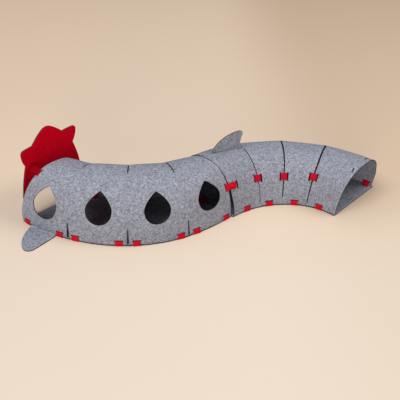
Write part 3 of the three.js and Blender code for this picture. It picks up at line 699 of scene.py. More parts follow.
def felt_sheet(name, outlines, place, spacing, thickness, material):
    """A sheet of felt cut along closed outlines, the first outside and the rest holes, and bent by place."""
    loops = []
    for i, outline in enumerate(outlines):
        loop = evenly(outline, spacing)
        if (signed_area(loop) > 0) != (i == 0):
            loop = loop[::-1]
        loops.append(loop)
    inward, edges, start = [], [], 0
    for loop in loops:
        count = len(loop)
        along = unit(np.roll(loop, -1, axis=0) - loop)
        across = along @ np.array(((0, 1), (-1, 0)))
        inward.append(unit(across + np.roll(across, 1, axis=0) + LEAST_LENGTH))
        edges.extend((start + i, start + (i + 1) % count) for i in range(count))
        start += count
    rim, inward = np.concatenate(loops), np.concatenate(inward)
    flat = np.concatenate((rim, grid_inside(loops, spacing)))
    made = delaunay_2d_cdt([Vector(point) for point in flat], edges, [], 1, LEAST_LENGTH, False)
    if len(made[0]) != len(flat):
        raise RuntimeError(f"the outlines of {name} cross each other")
    triangles = kept_triangles(np.array(made[2]), np.array(edges), flat, loops)

    # Both faces, set in a little at the cut edge, and the rows of the rounded edge between them
    count = len(flat)
    set_in = flat.copy()
    set_in[:len(rim)] += inward * EDGE_ROUNDING
    half = thickness / 2
    rows = [(inset, half - depth * EDGE_ROUNDING) for inset, depth in EDGE_ROWS]
    rows += [(inset, -depth) for inset, depth in reversed(rows)]
    points = [place(set_in, half), place(set_in, -half)]
    points += [place(rim + inward * inset * EDGE_ROUNDING, depth) for inset, depth in rows]
    points = np.concatenate(points)
    first_row = 2 * count
    ring = [np.arange(len(rim))]
    ring += [first_row + i * len(rim) + np.arange(len(rim)) for i in range(len(rows))]
    ring += [count + np.arange(len(rim))]
    here, there = np.array(edges).T
    quads = np.concatenate([
        np.stack((upper[there], upper[here], lower[here], lower[there]), axis=1)
        for upper, lower in zip(ring, ring[1:])])
    triangles = np.concatenate((triangles, triangles[:, ::-1] + count))
    a, b, c = points[np.concatenate((triangles, quads[:, :3], quads[:, (0, 2, 3)]))].transpose(1, 0, 2)
    way = 1 if np.sum(a * np.cross(b, c)) > 0 else -1
    faces = [face[::way] for face in (*triangles.tolist(), *quads.tolist())]
    mesh = bpy.data.meshes.new(name)
    mesh.from_pydata(points.tolist(), [], faces)
    cut = mesh.attributes.new("cut_edge", "FLOAT", "POINT")
    cut.data.foreach_set("value", (np.arange(len(points)) >= first_row).astype(np.float32))
    return finished(name, mesh, material)


def finished(name, mesh, material):
    """A piece from its mesh, smooth and in its material."""
    mesh.validate()
    mesh.polygons.foreach_set("use_smooth", np.ones(len(mesh.polygons), bool))
    mesh.materials.clear()
    mesh.materials.append(material)
    piece = bpy.data.objects.new(name, mesh)
    bpy.context.scene.collection.objects.link(piece)
    return piece


def face_area(piece):
    """Area of one face of a felt sheet."""
    return sum(polygon.area for polygon in piece.data.polygons) / 2


def fit(piece, slot_name, *nodes):
    """Sets a piece in the frame, in the place of its solids."""
    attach(piece, BODY)
    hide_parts(*nodes)


# Node trees
def set_inputs(tree, node, inputs):
    """Sets inputs of a node by name: a value, or a socket to link."""
    for key, value in inputs.items():
        if isinstance(value, bpy.types.NodeSocket):
            tree.links.new(value, node.inputs[key])
        else:
            node.inputs[key].default_value = value


def add_node(tree, kind, inputs=None, **settings):
    """A node of a tree with its settings and its inputs."""
    node = tree.nodes.new(kind)
    for key, value in settings.items():
        setattr(node, key, value)
    set_inputs(tree, node, inputs or {})
    return node


def product(tree, first, second):
    return add_node(tree, "ShaderNodeMath", {0: first, 1: second}, operation="MULTIPLY").outputs[0]


def map_range(tree, value, low, high, to_low=0, to_high=1, interpolation="LINEAR"):
    """A value carried over from one range to another."""
    node = add_node(tree, "ShaderNodeMapRange", {
        "Value": value, "From Min": low, "From Max": high, "To Min": to_low, "To Max": to_high},
        interpolation_type=interpolation)
    return node.outputs["Result"]


def mix_colours(tree, share, first, second, blend_type="MIX"):
    """Two colours mixed, or one multiplied by the other. The node's colour sockets go by number."""
    inputs = {0: share, 6: first, 7: second}
    node = add_node(tree, "ShaderNodeMix", inputs, data_type="RGBA", blend_type=blend_type)
    return node.outputs[2]


def colour_ramp(tree, value, stops):
    """The colour of a value on a ramp with stops of position and colour."""
    node = add_node(tree, "ShaderNodeValToRGB", {"Fac": value})
    elements = node.color_ramp.elements
    elements.remove(elements[0])
    for i, (position, colour) in enumerate(stops):
        element = elements[0] if i == 0 else elements.new(position)
        element.position = position
        element.color = (*np.clip(colour, 0, 1), 1)
    return node.outputs["Color"]


def noise(tree, place, size, **settings):
    """Noise with features of a size."""
    inputs = {"Vector": place, "Scale": 1 / size, **settings}
    return add_node(tree, "ShaderNodeTexNoise", inputs).outputs["Fac"]


def felt_material(name, colour, edge_shade_colour, settings, contrast, nap):
    """Pressed felt: faint blotches, light and dark tufts, crossing fibres, a soft nap, painted shade on cut
    edges.
    """
    if name in bpy.data.materials:
        return bpy.data.materials[name]
    material = bpy.data.materials.new(name)
    material.use_nodes = True
    tree = material.node_tree
    place = add_node(tree, "ShaderNodeTexCoord").outputs["Object"]
    grain = noise(tree, place, settings.tuft_size, **TUFT_NOISE)
    for turn in FIBRE_TURNS:
        turned = add_node(tree, "ShaderNodeMapping", {
            "Vector": place, "Rotation": turn, "Scale": (1, FIBRE_NARROWING, 1)})
        fibres = noise(tree, turned.outputs["Vector"], settings.fibre_size, Detail=1)
        mixed = add_node(tree, "ShaderNodeMix", {"Factor": FIBRE_SHARE, "A": grain, "B": fibres})
        grain = mixed.outputs["Result"]
    shades = [colour * (1 + change) for change in (-contrast, 0, contrast)]
    tufted = colour_ramp(tree, grain, zip(GRAIN_STOPS, shades))
    blotches = map_range(tree, noise(tree, place, settings.blotch_size, Detail=2), *BLOTCH_RANGE)
    tint = mix_colours(tree, blotches, (*BLOTCH_DARK, 1), (*BLOTCH_LIGHT, 1))
    tinted = mix_colours(tree, 1, tufted, tint, "MULTIPLY")
    cut = add_node(tree, "ShaderNodeAttribute", attribute_name="cut_edge")
    bump = add_node(tree, "ShaderNodeBump", {
        "Height": grain, "Strength": GRAIN_STRENGTH, "Distance": GRAIN_DEPTH})
    # The cut edges are painted far darker than the felt: painted shade along the edges and in the slots
    set_inputs(tree, tree.nodes["Principled BSDF"], {
        "Base Color": mix_colours(tree, cut.outputs["Fac"], tinted, (*edge_shade_colour, 1)),
        "Roughness": map_range(tree, grain, 0, 1, *FELT_ROUGHNESS),
        "Normal": bump.outputs["Normal"],
        "Sheen Weight": nap,
        "Sheen Roughness": NAP_ROUGHNESS,
        "Sheen Tint": (*(colour / colour.max()), 1),
        "Specular IOR Level": FELT_SHINE,
    })
    return material


def felt(context, kind):
    """The material of grey felt or of one of the reds, by the name of its colour in the settings."""
    settings = context.scene.tunnel_felt
    colour = np.array(getattr(settings, kind)[:])
    if kind == "grey":
        return felt_material("felt_grey", colour, settings.cut_edge, settings, GREY_CONTRAST, GREY_NAP)
    # A red sheet's cut edge is darkened as painted shade
    return felt_material(f"felt_{kind}", colour, colour * RED_EDGE_SHADE, settings, RED_CONTRAST, RED_NAP)


# Sheets of a bend
def floor_point(bend):
    """Where a point of a floor's drawing lies, raised a little where straps pass under it."""
    def place(flat, depth):
        angle = np.degrees(np.arctan2(flat[:, 1], flat[:, 0]))
        radius = np.linalg.norm(flat, axis=1)
        from_outer = bend.edge_radius(angle, True) - radius
        from_inner = radius - bend.edge_radius(angle, False)
        outer = bend.lift(angle, True) * (1 - ease(FOOT_STRAP_REACH, STRAP_LIFT_REACH, from_outer))
        inner = bend.lift(angle, False) * (1 - ease(FOOT_STRAP_REACH, STRAP_LIFT_REACH, from_inner))
        beside = lift_beside(flat[:, 1] - floor_strap_radius(bend))
        joint = beside * (1 - ease(FLOOR_STRAP_REACH, STRAP_LIFT_REACH, flat[:, 0]))
        points = np.column_stack((flat, FELT / 2 + depth + outer + inner + joint))
        return bend.to_part(points)
    return place


def floor_strap_radius(bend):
    """Where the strap that ties the floors crosses the joint line of a bend."""
    return MIDDLE_RADIUS + (FLOOR_STRAP_SHIFT if bend is TAIL else -FLOOR_STRAP_SHIFT)


def box_outline(centre, x_axis, x_length, y_length):
    """A rectangle about a centre, its first side along an axis."""
    x_half = np.array(x_axis) * x_length / 2
    y_half = np.array((-x_axis[1], x_axis[0])) * y_length / 2
    return [centre + a * x_half + b * y_half for a, b in BOX_CORNERS]


def floor_outlines(bend, strap_width):
    """The outline of a floor and its slots."""
    angles = np.linspace(0, BEND_ANGLE, EDGE_POINTS)
    outer_edge = [radial(angle)[:2] * bend.edge_radius(angle, True) for angle in angles]
    inner_edge = [radial(angle)[:2] * bend.edge_radius(angle, False) for angle in angles[::-1]]
    outline = [np.clip(point, END_TRIM, None) for point in (*outer_edge, *inner_edge)]
    slot_length = strap_width + 2 * SLOT_PLAY
    holes = []
    for angle, outer, side in bend.foot_straps():
        centre = radial(angle)[:2] * (bend.edge_radius(angle, outer) - side * FOOT_SLOT_INSET)
        holes.append(box_outline(centre, tangent(angle)[:2], slot_length, FOOT_SLOT_WIDTH))
    centre = np.array((FLOOR_STRAP_REACH + STRAP_FELT / 2, floor_strap_radius(bend)))
    holes.append(box_outline(centre, (0, 1), slot_length, SLOT_WIDTH))
    if bend is TAIL:
        holes.append(box_outline(np.array(FLOOR_SLOT_PLACE), (1, 0), FLOOR_SLOT_LENGTH, FLOOR_SLOT_WIDTH))
    return [outline, *holes]


def wall_point(bend):
    """Where a point of a wall's drawing lies."""
    def place(flat, depth):
        angle = np.degrees(flat[:, 0] / MIDDLE_RADIUS)
        return bend.wall(angle, np.clip(flat[:, 1] / ARCH_LENGTH, 0, 1), depth)
    return place


def joint_end(bend):
    """The joint end of a wall from its inner to its outer foot, as angles and shares."""
    trimmed = BEND_ANGLE - turn_of(END_TRIM, INNER_RADIUS)
    if bend is HEAD:
        return [(trimmed, 0), (trimmed, 1)]
    foot = BEND_ANGLE - turn_of(JOINT_GAP_FOOT, INNER_RADIUS)
    top = BEND_ANGLE - turn_of(JOINT_GAP_TOP, INNER_RADIUS)
    share = bend.share_at(BEND_ANGLE, JOINT_GAP_ARC, False)
    return [(foot, 0), (top, share), (trimmed, share), (trimmed, 1)]


def free_corner(bend):
    """The corner of a wall at the outer foot of its free end, which stands back on the tail."""
    if bend is HEAD:
        return [(0, 1)]
    return [(turn_of(CORNER_SET_BACK, OUTER_RADIUS), 1), (0, bend.share_at(0, CORNER_ARC, True))]


def outer_foot(bend):
    """The outer foot of a wall from the joint end to the free end, with its notches, as angles and shares."""
    notches = []
    for angle, low_width, high_width, lean in FOOT_SLITS:
        low = turn_of(low_width / 2, OUTER_RADIUS)
        high = turn_of(high_width / 2, OUTER_RADIUS)
        foot = angle + turn_of(lean, OUTER_RADIUS)
        share = bend.share_at(angle, FOOT_SLIT_HEIGHT, True)
        notches.append([(foot + low, 1), (angle + high, share), (angle - high, share), (foot - low, 1)])
    if bend is HEAD:
        from_angle = PECTORAL_ANGLE - turn_of(SLOT_PLAY, OUTER_RADIUS)
        to_angle = PECTORAL_ANGLE + turn_of(PECTORAL_ROOT + SLOT_PLAY, OUTER_RADIUS)
        share = bend.share_at(PECTORAL_ANGLE, PECTORAL_NOTCH, True)
        notches.append([(to_angle, 1), (to_angle, share), (from_angle, share), (from_angle, 1)])
    notches.sort(key=lambda notch: -notch[0][0])
    return [point for notch in notches for point in notch]


def long_slit(bend, slit):
    """The outline of a long slit in a wall's drawing."""
    left, right = [], []
    for i in range(SLIT_STATIONS + 1):
        part = i / SLIT_STATIONS
        share = mix(slit.start, slit.end, part)
        angle = mix(slit.low_angle, slit.high_angle, part)
        narrowing = SLIT_TIP_SHARE if i == SLIT_STATIONS else 1
        width = mix(slit.low_width, slit.high_width, part) * narrowing
        half = turn_of(width / 2, bend.radius_at(angle, share))
        left.append(bend.flat(angle + half, share))
        right.append(bend.flat(angle - half, share))
    return [*left, *reversed(right)]


def window_outline(bend, window):
    """A teardrop window in a wall's drawing, set out along the bend and up from the outer foot."""
    half = follow((0, 0), TEARDROP_CURVES)
    shape = [np.zeros(2), *half, *mirrored(half[:-1])]
    outline = []
    for across, up in shape:
        angle = window.angle + window.tilt * (up - 0.5) + turn_of(across * window.width / 2, OUTER_RADIUS)
        outline.append(bend.flat(angle, bend.share_at(angle, window.sill + up * window.height, True)))
    return outline


def wall_outlines(bend, strap_width):
    """The outline of a wall, its windows, its slits and the slots for its straps."""
    edge = [(0, 0), *joint_end(bend), *outer_foot(bend), *free_corner(bend)]
    holes = [long_slit(bend, slit) for slit in bend.slits]
    slot_length = strap_width + 2 * WALL_SLOT_PLAY
    slot_arc = FOOT_STRAP_HEIGHT - STRAP_FELT / 2 - FOOT
    for angle, outer, _ in bend.foot_straps():
        share = bend.share_at(angle, slot_arc, outer)
        holes.append(bend.slot(angle, share, slot_length, WALL_SLOT_WIDTH))
    for slit in bend.slits:
        angle, share = bend.slit_strap_place(slit)
        away = turn_of((SLIT_STRAP_SPAN + STRAP_FELT) / 2 + WALL_SLOT_SHIFT, bend.radius_at(angle, share))
        holes += [bend.slot(angle + side * away, share, WALL_SLOT_WIDTH, slot_length) for side in (-1, 1)]
    reach = JOINT_STRAP_HEAD_REACH if bend is HEAD else JOINT_STRAP_TAIL_REACH
    for outer in (True, False):
        share = bend.share_at(BEND_ANGLE, JOINT_STRAP_ARC, outer)
        away = reach + STRAP_FELT / 2 + WALL_SLOT_SHIFT
        angle = BEND_ANGLE - turn_of(away, bend.radius_at(BEND_ANGLE, share))
        holes.append(bend.slot(angle, share, WALL_SLOT_WIDTH, slot_length))
    if bend is HEAD:
        holes += [window_outline(bend, window) for window in WINDOWS]
        for strap in PANEL_STRAPS:
            share = bend.share_at(0, strap.arc, strap.from_outer)
            angle = turn_of(PANEL_STRAP_INSET + STRAP_FELT / 2, bend.radius_at(0, share))
            holes.append(bend.slot(angle, share, SLOT_WIDTH, slot_length))
    else:
        holes += [empty_slot(bend, slot) for slot in EMPTY_SLOTS]
        holes.append(dorsal_slot(bend))
    return [[bend.flat(*point) for point in edge], *holes]


def empty_slot(bend, slot):
    """An empty slot near the free end of a wall."""
    corners = []
    for up, inset, sides in ((-1, slot.low_inset, (-1, 1)), (1, slot.high_inset, (1, -1))):
        share = bend.share_at(0, slot.arc + up * slot.length / 2, False)
        for side in sides:
            angle = turn_of(inset + side * EMPTY_SLOT_WIDTH / 2, bend.radius_at(0, share))
            corners.append(bend.flat(angle, share))
    return corners


def dorsal_slot(bend):
    """The slot for the dorsal fin's tab, along the ridge."""
    base = np.linalg.norm(bend.middle(*DORSAL_TO) - bend.middle(*DORSAL_FROM))
    ends = []
    for along in (DORSAL_TAB_START - SLOT_PLAY, DORSAL_TAB_END + SLOT_PLAY):
        ends.append(bend.flat(*mix(np.array(DORSAL_FROM), np.array(DORSAL_TO), along / base)))
    way = ends[1] - ends[0]
    length = np.linalg.norm(way)
    return box_outline((ends[0] + ends[1]) / 2, way / length, length, FELT + 2 * CLEARANCE)


# Straps that go round a hole with four corners, as bands made by one node tree
Band = namedtuple("Band", "centre x_axis z_axis")
CORNERS = ("Corner 1", "Corner 2", "Corner 3", "Corner 4")


def rectangle(half_width, low, high):
    return [(-half_width, low), (half_width, low), (half_width, high), (-half_width, high)]


def set_out(corners, distance):
    """Corners that run anticlockwise, moved so that each side lies a distance further out."""
    corners = np.array(corners)
    into = unit(corners - np.roll(corners, 1, axis=0))
    onwards = unit(np.roll(corners, -1, axis=0) - corners)
    outward = (into + onwards) @ np.array(((0, -1), (1, 0)))
    return corners + outward * (distance / (1 + np.sum(into * onwards, axis=1)))[:, None]


def band_tree():
    """A node tree that sets a closed felt band at each point, turned by the point's two axes."""
    name = "felt_band"
    if name in bpy.data.node_groups:
        return bpy.data.node_groups[name]
    tree = bpy.data.node_groups.new(name, "GeometryNodeTree")
    tree.interface.new_socket("Geometry", in_out="INPUT", socket_type="NodeSocketGeometry")
    for label in CORNERS:
        tree.interface.new_socket(label, in_out="INPUT", socket_type="NodeSocketVector")
    for label in ("Band Width", "Felt", "Rounding", "Unevenness", "Inner Share"):
        tree.interface.new_socket(label, in_out="INPUT", socket_type="NodeSocketFloat")
    tree.interface.new_socket("Seed", in_out="INPUT", socket_type="NodeSocketInt")
    tree.interface.new_socket("Material", in_out="INPUT", socket_type="NodeSocketMaterial")
    tree.interface.new_socket("Geometry", in_out="OUTPUT", socket_type="NodeSocketGeometry")
    given = tree.nodes.new("NodeGroupInput").outputs
    points = {f"Point {i + 1}": given[label] for i, label in enumerate(CORNERS)}
    path = add_node(tree, "GeometryNodeCurvePrimitiveQuadrilateral", points, mode="POINTS")
    rounded = add_node(tree, "GeometryNodeFilletCurve", {
        "Curve": path.outputs["Curve"], "Count": BAND_CORNER_POINTS, "Radius": given["Rounding"],
        "Limit Radius": True}, mode="POLY")
    upright = add_node(tree, "GeometryNodeSetCurveNormal", {"Curve": rounded.outputs["Curve"]}, mode="Z_UP")
    section = add_node(tree, "GeometryNodeCurvePrimitiveQuadrilateral", {
        "Width": given["Felt"], "Height": given["Band Width"]})
    soft = add_node(tree, "GeometryNodeFilletCurve", {
        "Curve": section.outputs["Curve"], "Count": BAND_EDGE_POINTS,
        "Radius": product(tree, given["Felt"], BAND_EDGE_SHARE)}, mode="POLY")
    band = add_node(tree, "GeometryNodeCurveToMesh", {
        "Curve": upright.outputs["Curve"], "Profile Curve": soft.outputs["Curve"]})
    position = add_node(tree, "GeometryNodeInputPosition").outputs[0]
    parts = add_node(tree, "ShaderNodeSeparateXYZ", {0: position}).outputs
    share = map_range(tree, parts["Y"], 0, -STRAP_FELT, 1, given["Inner Share"])
    shaped = add_node(tree, "ShaderNodeCombineXYZ", {
        "X": parts["X"], "Y": parts["Y"], "Z": product(tree, parts["Z"], share)})
    narrowed = add_node(tree, "GeometryNodeSetPosition", {
        "Geometry": band.outputs["Mesh"], "Position": shaped.outputs[0]})
    axes = []
    for attribute in ("z_axis", "x_axis"):
        named = {"Name": attribute}
        axis = add_node(tree, "GeometryNodeInputNamedAttribute", named, data_type="FLOAT_VECTOR")
        axes.append(axis.outputs[0])
    turn = add_node(tree, "FunctionNodeAxesToRotation", {
        "Primary Axis": axes[0], "Secondary Axis": axes[1]}, primary_axis="Z", secondary_axis="X")
    uneven = add_node(tree, "FunctionNodeRandomValue", {
        2: product(tree, given["Unevenness"], -1), 3: given["Unevenness"], "Seed": given["Seed"]})
    tilt = add_node(tree, "ShaderNodeCombineXYZ", {"X": uneven.outputs[1]})
    tilted = add_node(tree, "FunctionNodeRotateRotation", {
        "Rotation": turn.outputs[0], "Rotate By": tilt.outputs[0]}, rotation_space="LOCAL")
    copies = add_node(tree, "GeometryNodeInstanceOnPoints", {
        "Points": given["Geometry"], "Instance": narrowed.outputs[0], "Rotation": tilted.outputs[0]})
    real = add_node(tree, "GeometryNodeRealizeInstances", {"Geometry": copies.outputs[0]})
    painted = add_node(tree, "GeometryNodeSetMaterial", {
        "Geometry": real.outputs[0], "Material": given["Material"]})
    add_node(tree, "NodeGroupOutput", {"Geometry": painted.outputs[0]})
    return tree


def bands(context, name, rows, hole, rounding, material, inner_share=1.0):
    """A piece of closed bands, one for each row, around holes with the same corners."""
    mesh = bpy.data.meshes.new(name)
    mesh.from_pydata([tuple(row.centre) for row in rows], [], [])
    for attribute in ("x_axis", "z_axis"):
        layer = mesh.attributes.new(attribute, "FLOAT_VECTOR", "POINT")
        axes = np.array([getattr(row, attribute) for row in rows], np.float32)
        layer.data.foreach_set("vector", axes.ravel())
    holder = bpy.data.objects.new(name + "_points", mesh)
    context.scene.collection.objects.link(holder)
    modifier = holder.modifiers.new("bands", "NODES")
    modifier.node_group = band_tree()
    straps = context.scene.tunnel_straps
    path = set_out(hole, STRAP_FELT / 2)
    values = {
        "Band Width": straps.width, "Felt": STRAP_FELT, "Rounding": rounding, "Unevenness": straps.unevenness,
        "Inner Share": inner_share, "Seed": STRAP_SEED, "Material": material,
    }
    for label, corner in zip(CORNERS, path.tolist()):
        values[label] = (*corner, 0.0)
    for item in modifier.node_group.interface.items_tree:
        if item.in_out == "INPUT" and item.name in values:
            modifier[item.identifier] = values[item.name]
    context.view_layer.update()
    made = bpy.data.meshes.new_from_object(holder.evaluated_get(context.evaluated_depsgraph_get()))
    made.name = name
    bpy.data.objects.remove(holder)
    piece = finished(name, made, material)
    return piece


def foot_bands(bend, strap_width):
    """The straps round the corner of a wall's feet and its floor, with the corners of their hole."""
    rows = []
    for angle, outer, side in bend.foot_straps():
        outward = radial(angle) * side
        foot = bend.to_part(radial(angle) * bend.edge_radius(angle, outer))
        rows.append(Band(foot, bend.aim(outward), bend.aim(np.cross(outward, UP))))
    bulge_of_edge = strap_width ** 2 / 8 / INNER_RADIUS
    outside = CLEARANCE + bulge_of_edge
    low, high = STRAP_FELT, FOOT_STRAP_HEIGHT - STRAP_FELT
    hole = [(-FOOT_STRAP_REACH, low), (outside, low), (outside, high), (-FOOT_STRAP_LEVEL, high)]
    return rows, hole, FOOT_STRAP_ROUNDING


def slit_bands(bend):
    """The straps over the long slits of a wall, with the corners of their hole."""
    rows = []
    for slit in bend.slits:
        angle, share = bend.slit_strap_place(slit)
        outward = bend.normal(angle, share)
        along = tangent(angle)
        along = unit(along - outward * (along @ outward))
        centre = bend.wall(angle, share, 0)
        rows.append(Band(centre, bend.aim(along), bend.aim(np.cross(along, outward))))
    depth = FELT / 2 + SLIT_STRAP_SLACK
    return rows, rectangle(SLIT_STRAP_SPAN / 2, -depth, depth), END_ROUNDING


def joint_band(near):
    """The strap over both walls at the joint, near or far, with the corners of its hole."""
    ends = []
    sides = ((HEAD, JOINT_STRAP_HEAD_REACH, near), (TAIL, JOINT_STRAP_TAIL_REACH, not near))
    for bend, reach, outer in sides:
        share = bend.share_at(BEND_ANGLE, JOINT_STRAP_ARC, outer)
        angle = BEND_ANGLE - turn_of(reach, np.linalg.norm(bend.middle(BEND_ANGLE, share)))
        ends.append(bend.wall(angle, share, 0))
        if bend is HEAD:
            outward = bend.aim(bend.normal(angle, share))
    along = ends[1] - ends[0]
    length = np.linalg.norm(along)
    along = along / length
    outward = unit(outward - along * (outward @ along))
    row = Band((ends[0] + ends[1]) / 2, along, np.cross(along, outward))
    depth = FELT / 2 + 2 * STRAP_SLACK
    return [row], rectangle(length / 2, -depth, depth), END_ROUNDING


def floor_band():
    """The strap that ties the two floors over the joint line, with the corners of its hole."""
    along = tangent(JOINT_HEADING)
    centre = JOINT + radial(JOINT_HEADING) * FLOOR_STRAP_SHIFT
    high = STRAP_LIFT + FELT + CLEARANCE
    row = Band(centre, along, np.cross(along, UP))
    return [row], rectangle(FLOOR_STRAP_REACH, STRAP_FELT, high), END_ROUNDING


# The head panel's own directions: towards the outside of the bend, up, and away from the tunnel
PANEL_ASIDE = radial(PANEL_YAW)
PANEL_UP = tangent(PANEL_YAW) * sin(radians(PANEL_PITCH)) + UP * cos(radians(PANEL_PITCH))
PANEL_FORWARD = np.cross(PANEL_ASIDE, PANEL_UP)
PANEL_FOOT = np.array((OUTER_RADIUS, -PANEL_CLEARANCE, 0)) + PANEL_ASIDE * (PANEL_MIDDLE - OUTER_RADIUS)


def bow_at(across):
    """How far the panel stands forward of its sides."""
    return PANEL_BOW * (1 - (across / PANEL_FOOT_HALF_WIDTH) ** 2)


def panel_point(offset):
    """Where a point of the panel's drawing lies, for a layer whose middle is at an offset."""
    def place(flat, depth):
        forward = bow_at(flat[:, 0]) + offset + depth
        local = PANEL_FOOT + flat[:, :1] * PANEL_ASIDE + flat[:, 1:] * PANEL_UP
        return HEAD.to_part(local + forward[:, None] * PANEL_FORWARD)
    return place


StrapRoute = namedtuple("StrapRoute", "rim forward outward aside reach")


def strap_route(strap):
    """A panel strap's start on the rim of the head bend, its directions and how far it reaches."""
    share = HEAD.share_at(0, strap.arc, strap.from_outer)
    rim = HEAD.middle(0, share)
    step = 0.01
    aside = unit(HEAD.middle(0, share + step) - HEAD.middle(0, share - step))
    forward = -tangent(0)
    outward = unit(np.cross(forward, aside))
    from_foot = PANEL_FOOT - rim
    to_panel = (from_foot @ PANEL_FORWARD + bow_at(from_foot @ PANEL_ASIDE)) / (forward @ PANEL_FORWARD)
    return StrapRoute(rim, forward, outward, aside, to_panel + STRAP_FELT + FELT + PANEL_STRAP_TAIL)


def panel_outlines(strap_width):
    """The outline of the head panel with its mouth, and the slots for its straps."""
    half = [np.array(PANEL_TOP), *follow(PANEL_TOP, PANEL_CURVES)]
    mouth = []
    for turn in np.linspace(0, pi, MOUTH_STEPS + 1):
        across = np.sign(cos(turn)) * abs(cos(turn)) ** (2 / ARCH_POWER)
        mouth.append(np.array((MOUTH_HALF_WIDTH * across, MOUTH_HEIGHT * abs(sin(turn)) ** (2 / ARCH_POWER))))
    outline = [*half, *mouth, *mirrored(half[1:])]
    holes = []
    for strap in PANEL_STRAPS:
        route = strap_route(strap)
        level = STRAP_SLACK + (FELT + STRAP_FELT) / 2
        ahead = route.reach - PANEL_STRAP_TAIL
        there = route.rim + route.outward * level + route.forward * ahead - PANEL_FOOT
        centre = np.array((there @ PANEL_ASIDE, there @ PANEL_UP))
        way = unit(np.array((route.aside @ PANEL_ASIDE, route.aside @ PANEL_UP)))
        holes.append(box_outline(centre, way, strap_width + 2 * SLOT_PLAY, SLOT_WIDTH))
    return [outline, *holes]


def bent_strip(route):
    """Where a point of a panel strap's drawing lies: through the wall, round a bend and on to the panel."""
    drop = PANEL_STRAP_TAIL + FELT + 2 * STRAP_SLACK
    top = STRAP_SLACK + (FELT + STRAP_FELT) / 2
    back = -PANEL_STRAP_INSET - STRAP_FELT / 2
    quarter = PANEL_STRAP_BEND * pi / 2

    def place(flat, depth):
        length = flat[:, 0]
        turn = np.clip((length - drop) / quarter, 0, 1) * pi / 2
        up = np.minimum(length, drop) + PANEL_STRAP_BEND * np.sin(turn)
        ahead = PANEL_STRAP_BEND * (1 - np.cos(turn)) + np.maximum(0, length - drop - quarter)
        up = up + top - drop - PANEL_STRAP_BEND + depth * np.sin(turn)
        ahead = ahead + back - depth * np.cos(turn)
        local = (route.rim + up[:, None] * route.outward + ahead[:, None] * route.forward
                 + flat[:, 1:] * route.aside)
        return HEAD.to_part(local)
    length = drop + quarter + route.reach - back - PANEL_STRAP_BEND
    return place, length


# Fins
def dorsal_frame():
    """Start of the dorsal fin's base, and its directions along, up and aside, in the tail bend."""
    out = FELT / 2 + DORSAL_LIFT
    start = TAIL.middle(*DORSAL_FROM) + TAIL.normal(*DORSAL_FROM) * out
    along = unit(TAIL.middle(*DORSAL_TO) + TAIL.normal(*DORSAL_TO) * out - start)
    aside = unit(np.cross(along, UP))
    return start, along, np.cross(aside, along), aside


def dorsal_outline():
    """The dorsal fin with the tab at its base."""
    tab = [
        (DORSAL_TAB_END, 0), (DORSAL_TAB_END, -DORSAL_TAB_DEPTH),
        (DORSAL_TAB_START, -DORSAL_TAB_DEPTH), (DORSAL_TAB_START, 0),
    ]
    return [np.zeros(2), *follow((0, 0), DORSAL_CURVES), *tab]


def dorsal_point(flat, depth):
    start, along, up, aside = dorsal_frame()
    return TAIL.to_part(start + flat[:, :1] * along + flat[:, 1:] * up + depth * aside)


def pectoral_outline():
    """The pectoral fin from its tucked root outwards: lengths along the floor's edge and out from it."""
    leading, trailing = [(0, -PECTORAL_TUCK)], [(PECTORAL_ROOT, -PECTORAL_TUCK)]
    for i in range(PECTORAL_STEPS + 1):
        out = PECTORAL_REACH * sin(pi / 2 * i / PECTORAL_STEPS)
        share = out / PECTORAL_REACH
        swept = PECTORAL_SWEEP * (1 - (1 - share ** PECTORAL_SWEEP_POWER) ** (1 / PECTORAL_SWEEP_POWER))
        rounding = max(0, out - PECTORAL_REACH + PECTORAL_TIP_RADIUS) / PECTORAL_TIP_RADIUS
        rounded_off = PECTORAL_TIP_RADIUS * (1 - (1 - rounding ** 2) ** 0.5)
        tapered = PECTORAL_ROOT - PECTORAL_TAPER * out - rounded_off
        leading.append((swept, out))
        trailing.append((max(tapered, swept + PECTORAL_TIP_WIDTH), out))
    return [np.array(point) for point in (*leading, *reversed(trailing))]


def pectoral_point(flat, depth):
    along, out = flat[:, 0], flat[:, 1]
    angle = PECTORAL_ANGLE + turn_of(along, OUTER_RADIUS)
    beyond = out - HEAD.edge_shift(angle, True)
    base = mix(FELT + CLEARANCE, 0, ease(CLEARANCE, PECTORAL_DROP, beyond))
    points = radial(angle) * (OUTER_RADIUS + out)[:, None]
    points[:, 2] = base + FELT / 2 + depth
    return HEAD.to_part(points)


class TUNNEL_OT_floors(Operator):
    """Make the two floor sheets"""
    bl_idname = "tunnel.make_floors"
    bl_label = "Floors"

    def execute(self, context):
        for bend in (HEAD, TAIL):
            name = f"floor_{bend.name}"
            outlines = floor_outlines(bend, context.scene.tunnel_straps.width)
            place = floor_point(bend)
            piece = felt_sheet(f"{name}_felt", outlines, place, FLAT_SPACING, FELT, felt(context, "grey"))
            fit(piece, "grey_felt", name)
            face_area(piece)
        return {"FINISHED"}


class TUNNEL_OT_walls(Operator):
    """Make the two arched wall sheets with their slits, slots and windows"""
    bl_idname = "tunnel.make_walls"
    bl_label = "Walls"

    def execute(self, context):
        for bend in (HEAD, TAIL):
            name = f"wall_{bend.name}"
            outlines = wall_outlines(bend, context.scene.tunnel_straps.width)
            place = wall_point(bend)
            piece = felt_sheet(f"{name}_felt", outlines, place, WALL_SPACING, FELT, felt(context, "grey"))
            fit(piece, "grey_felt", name)
            face_area(piece)
        return {"FINISHED"}


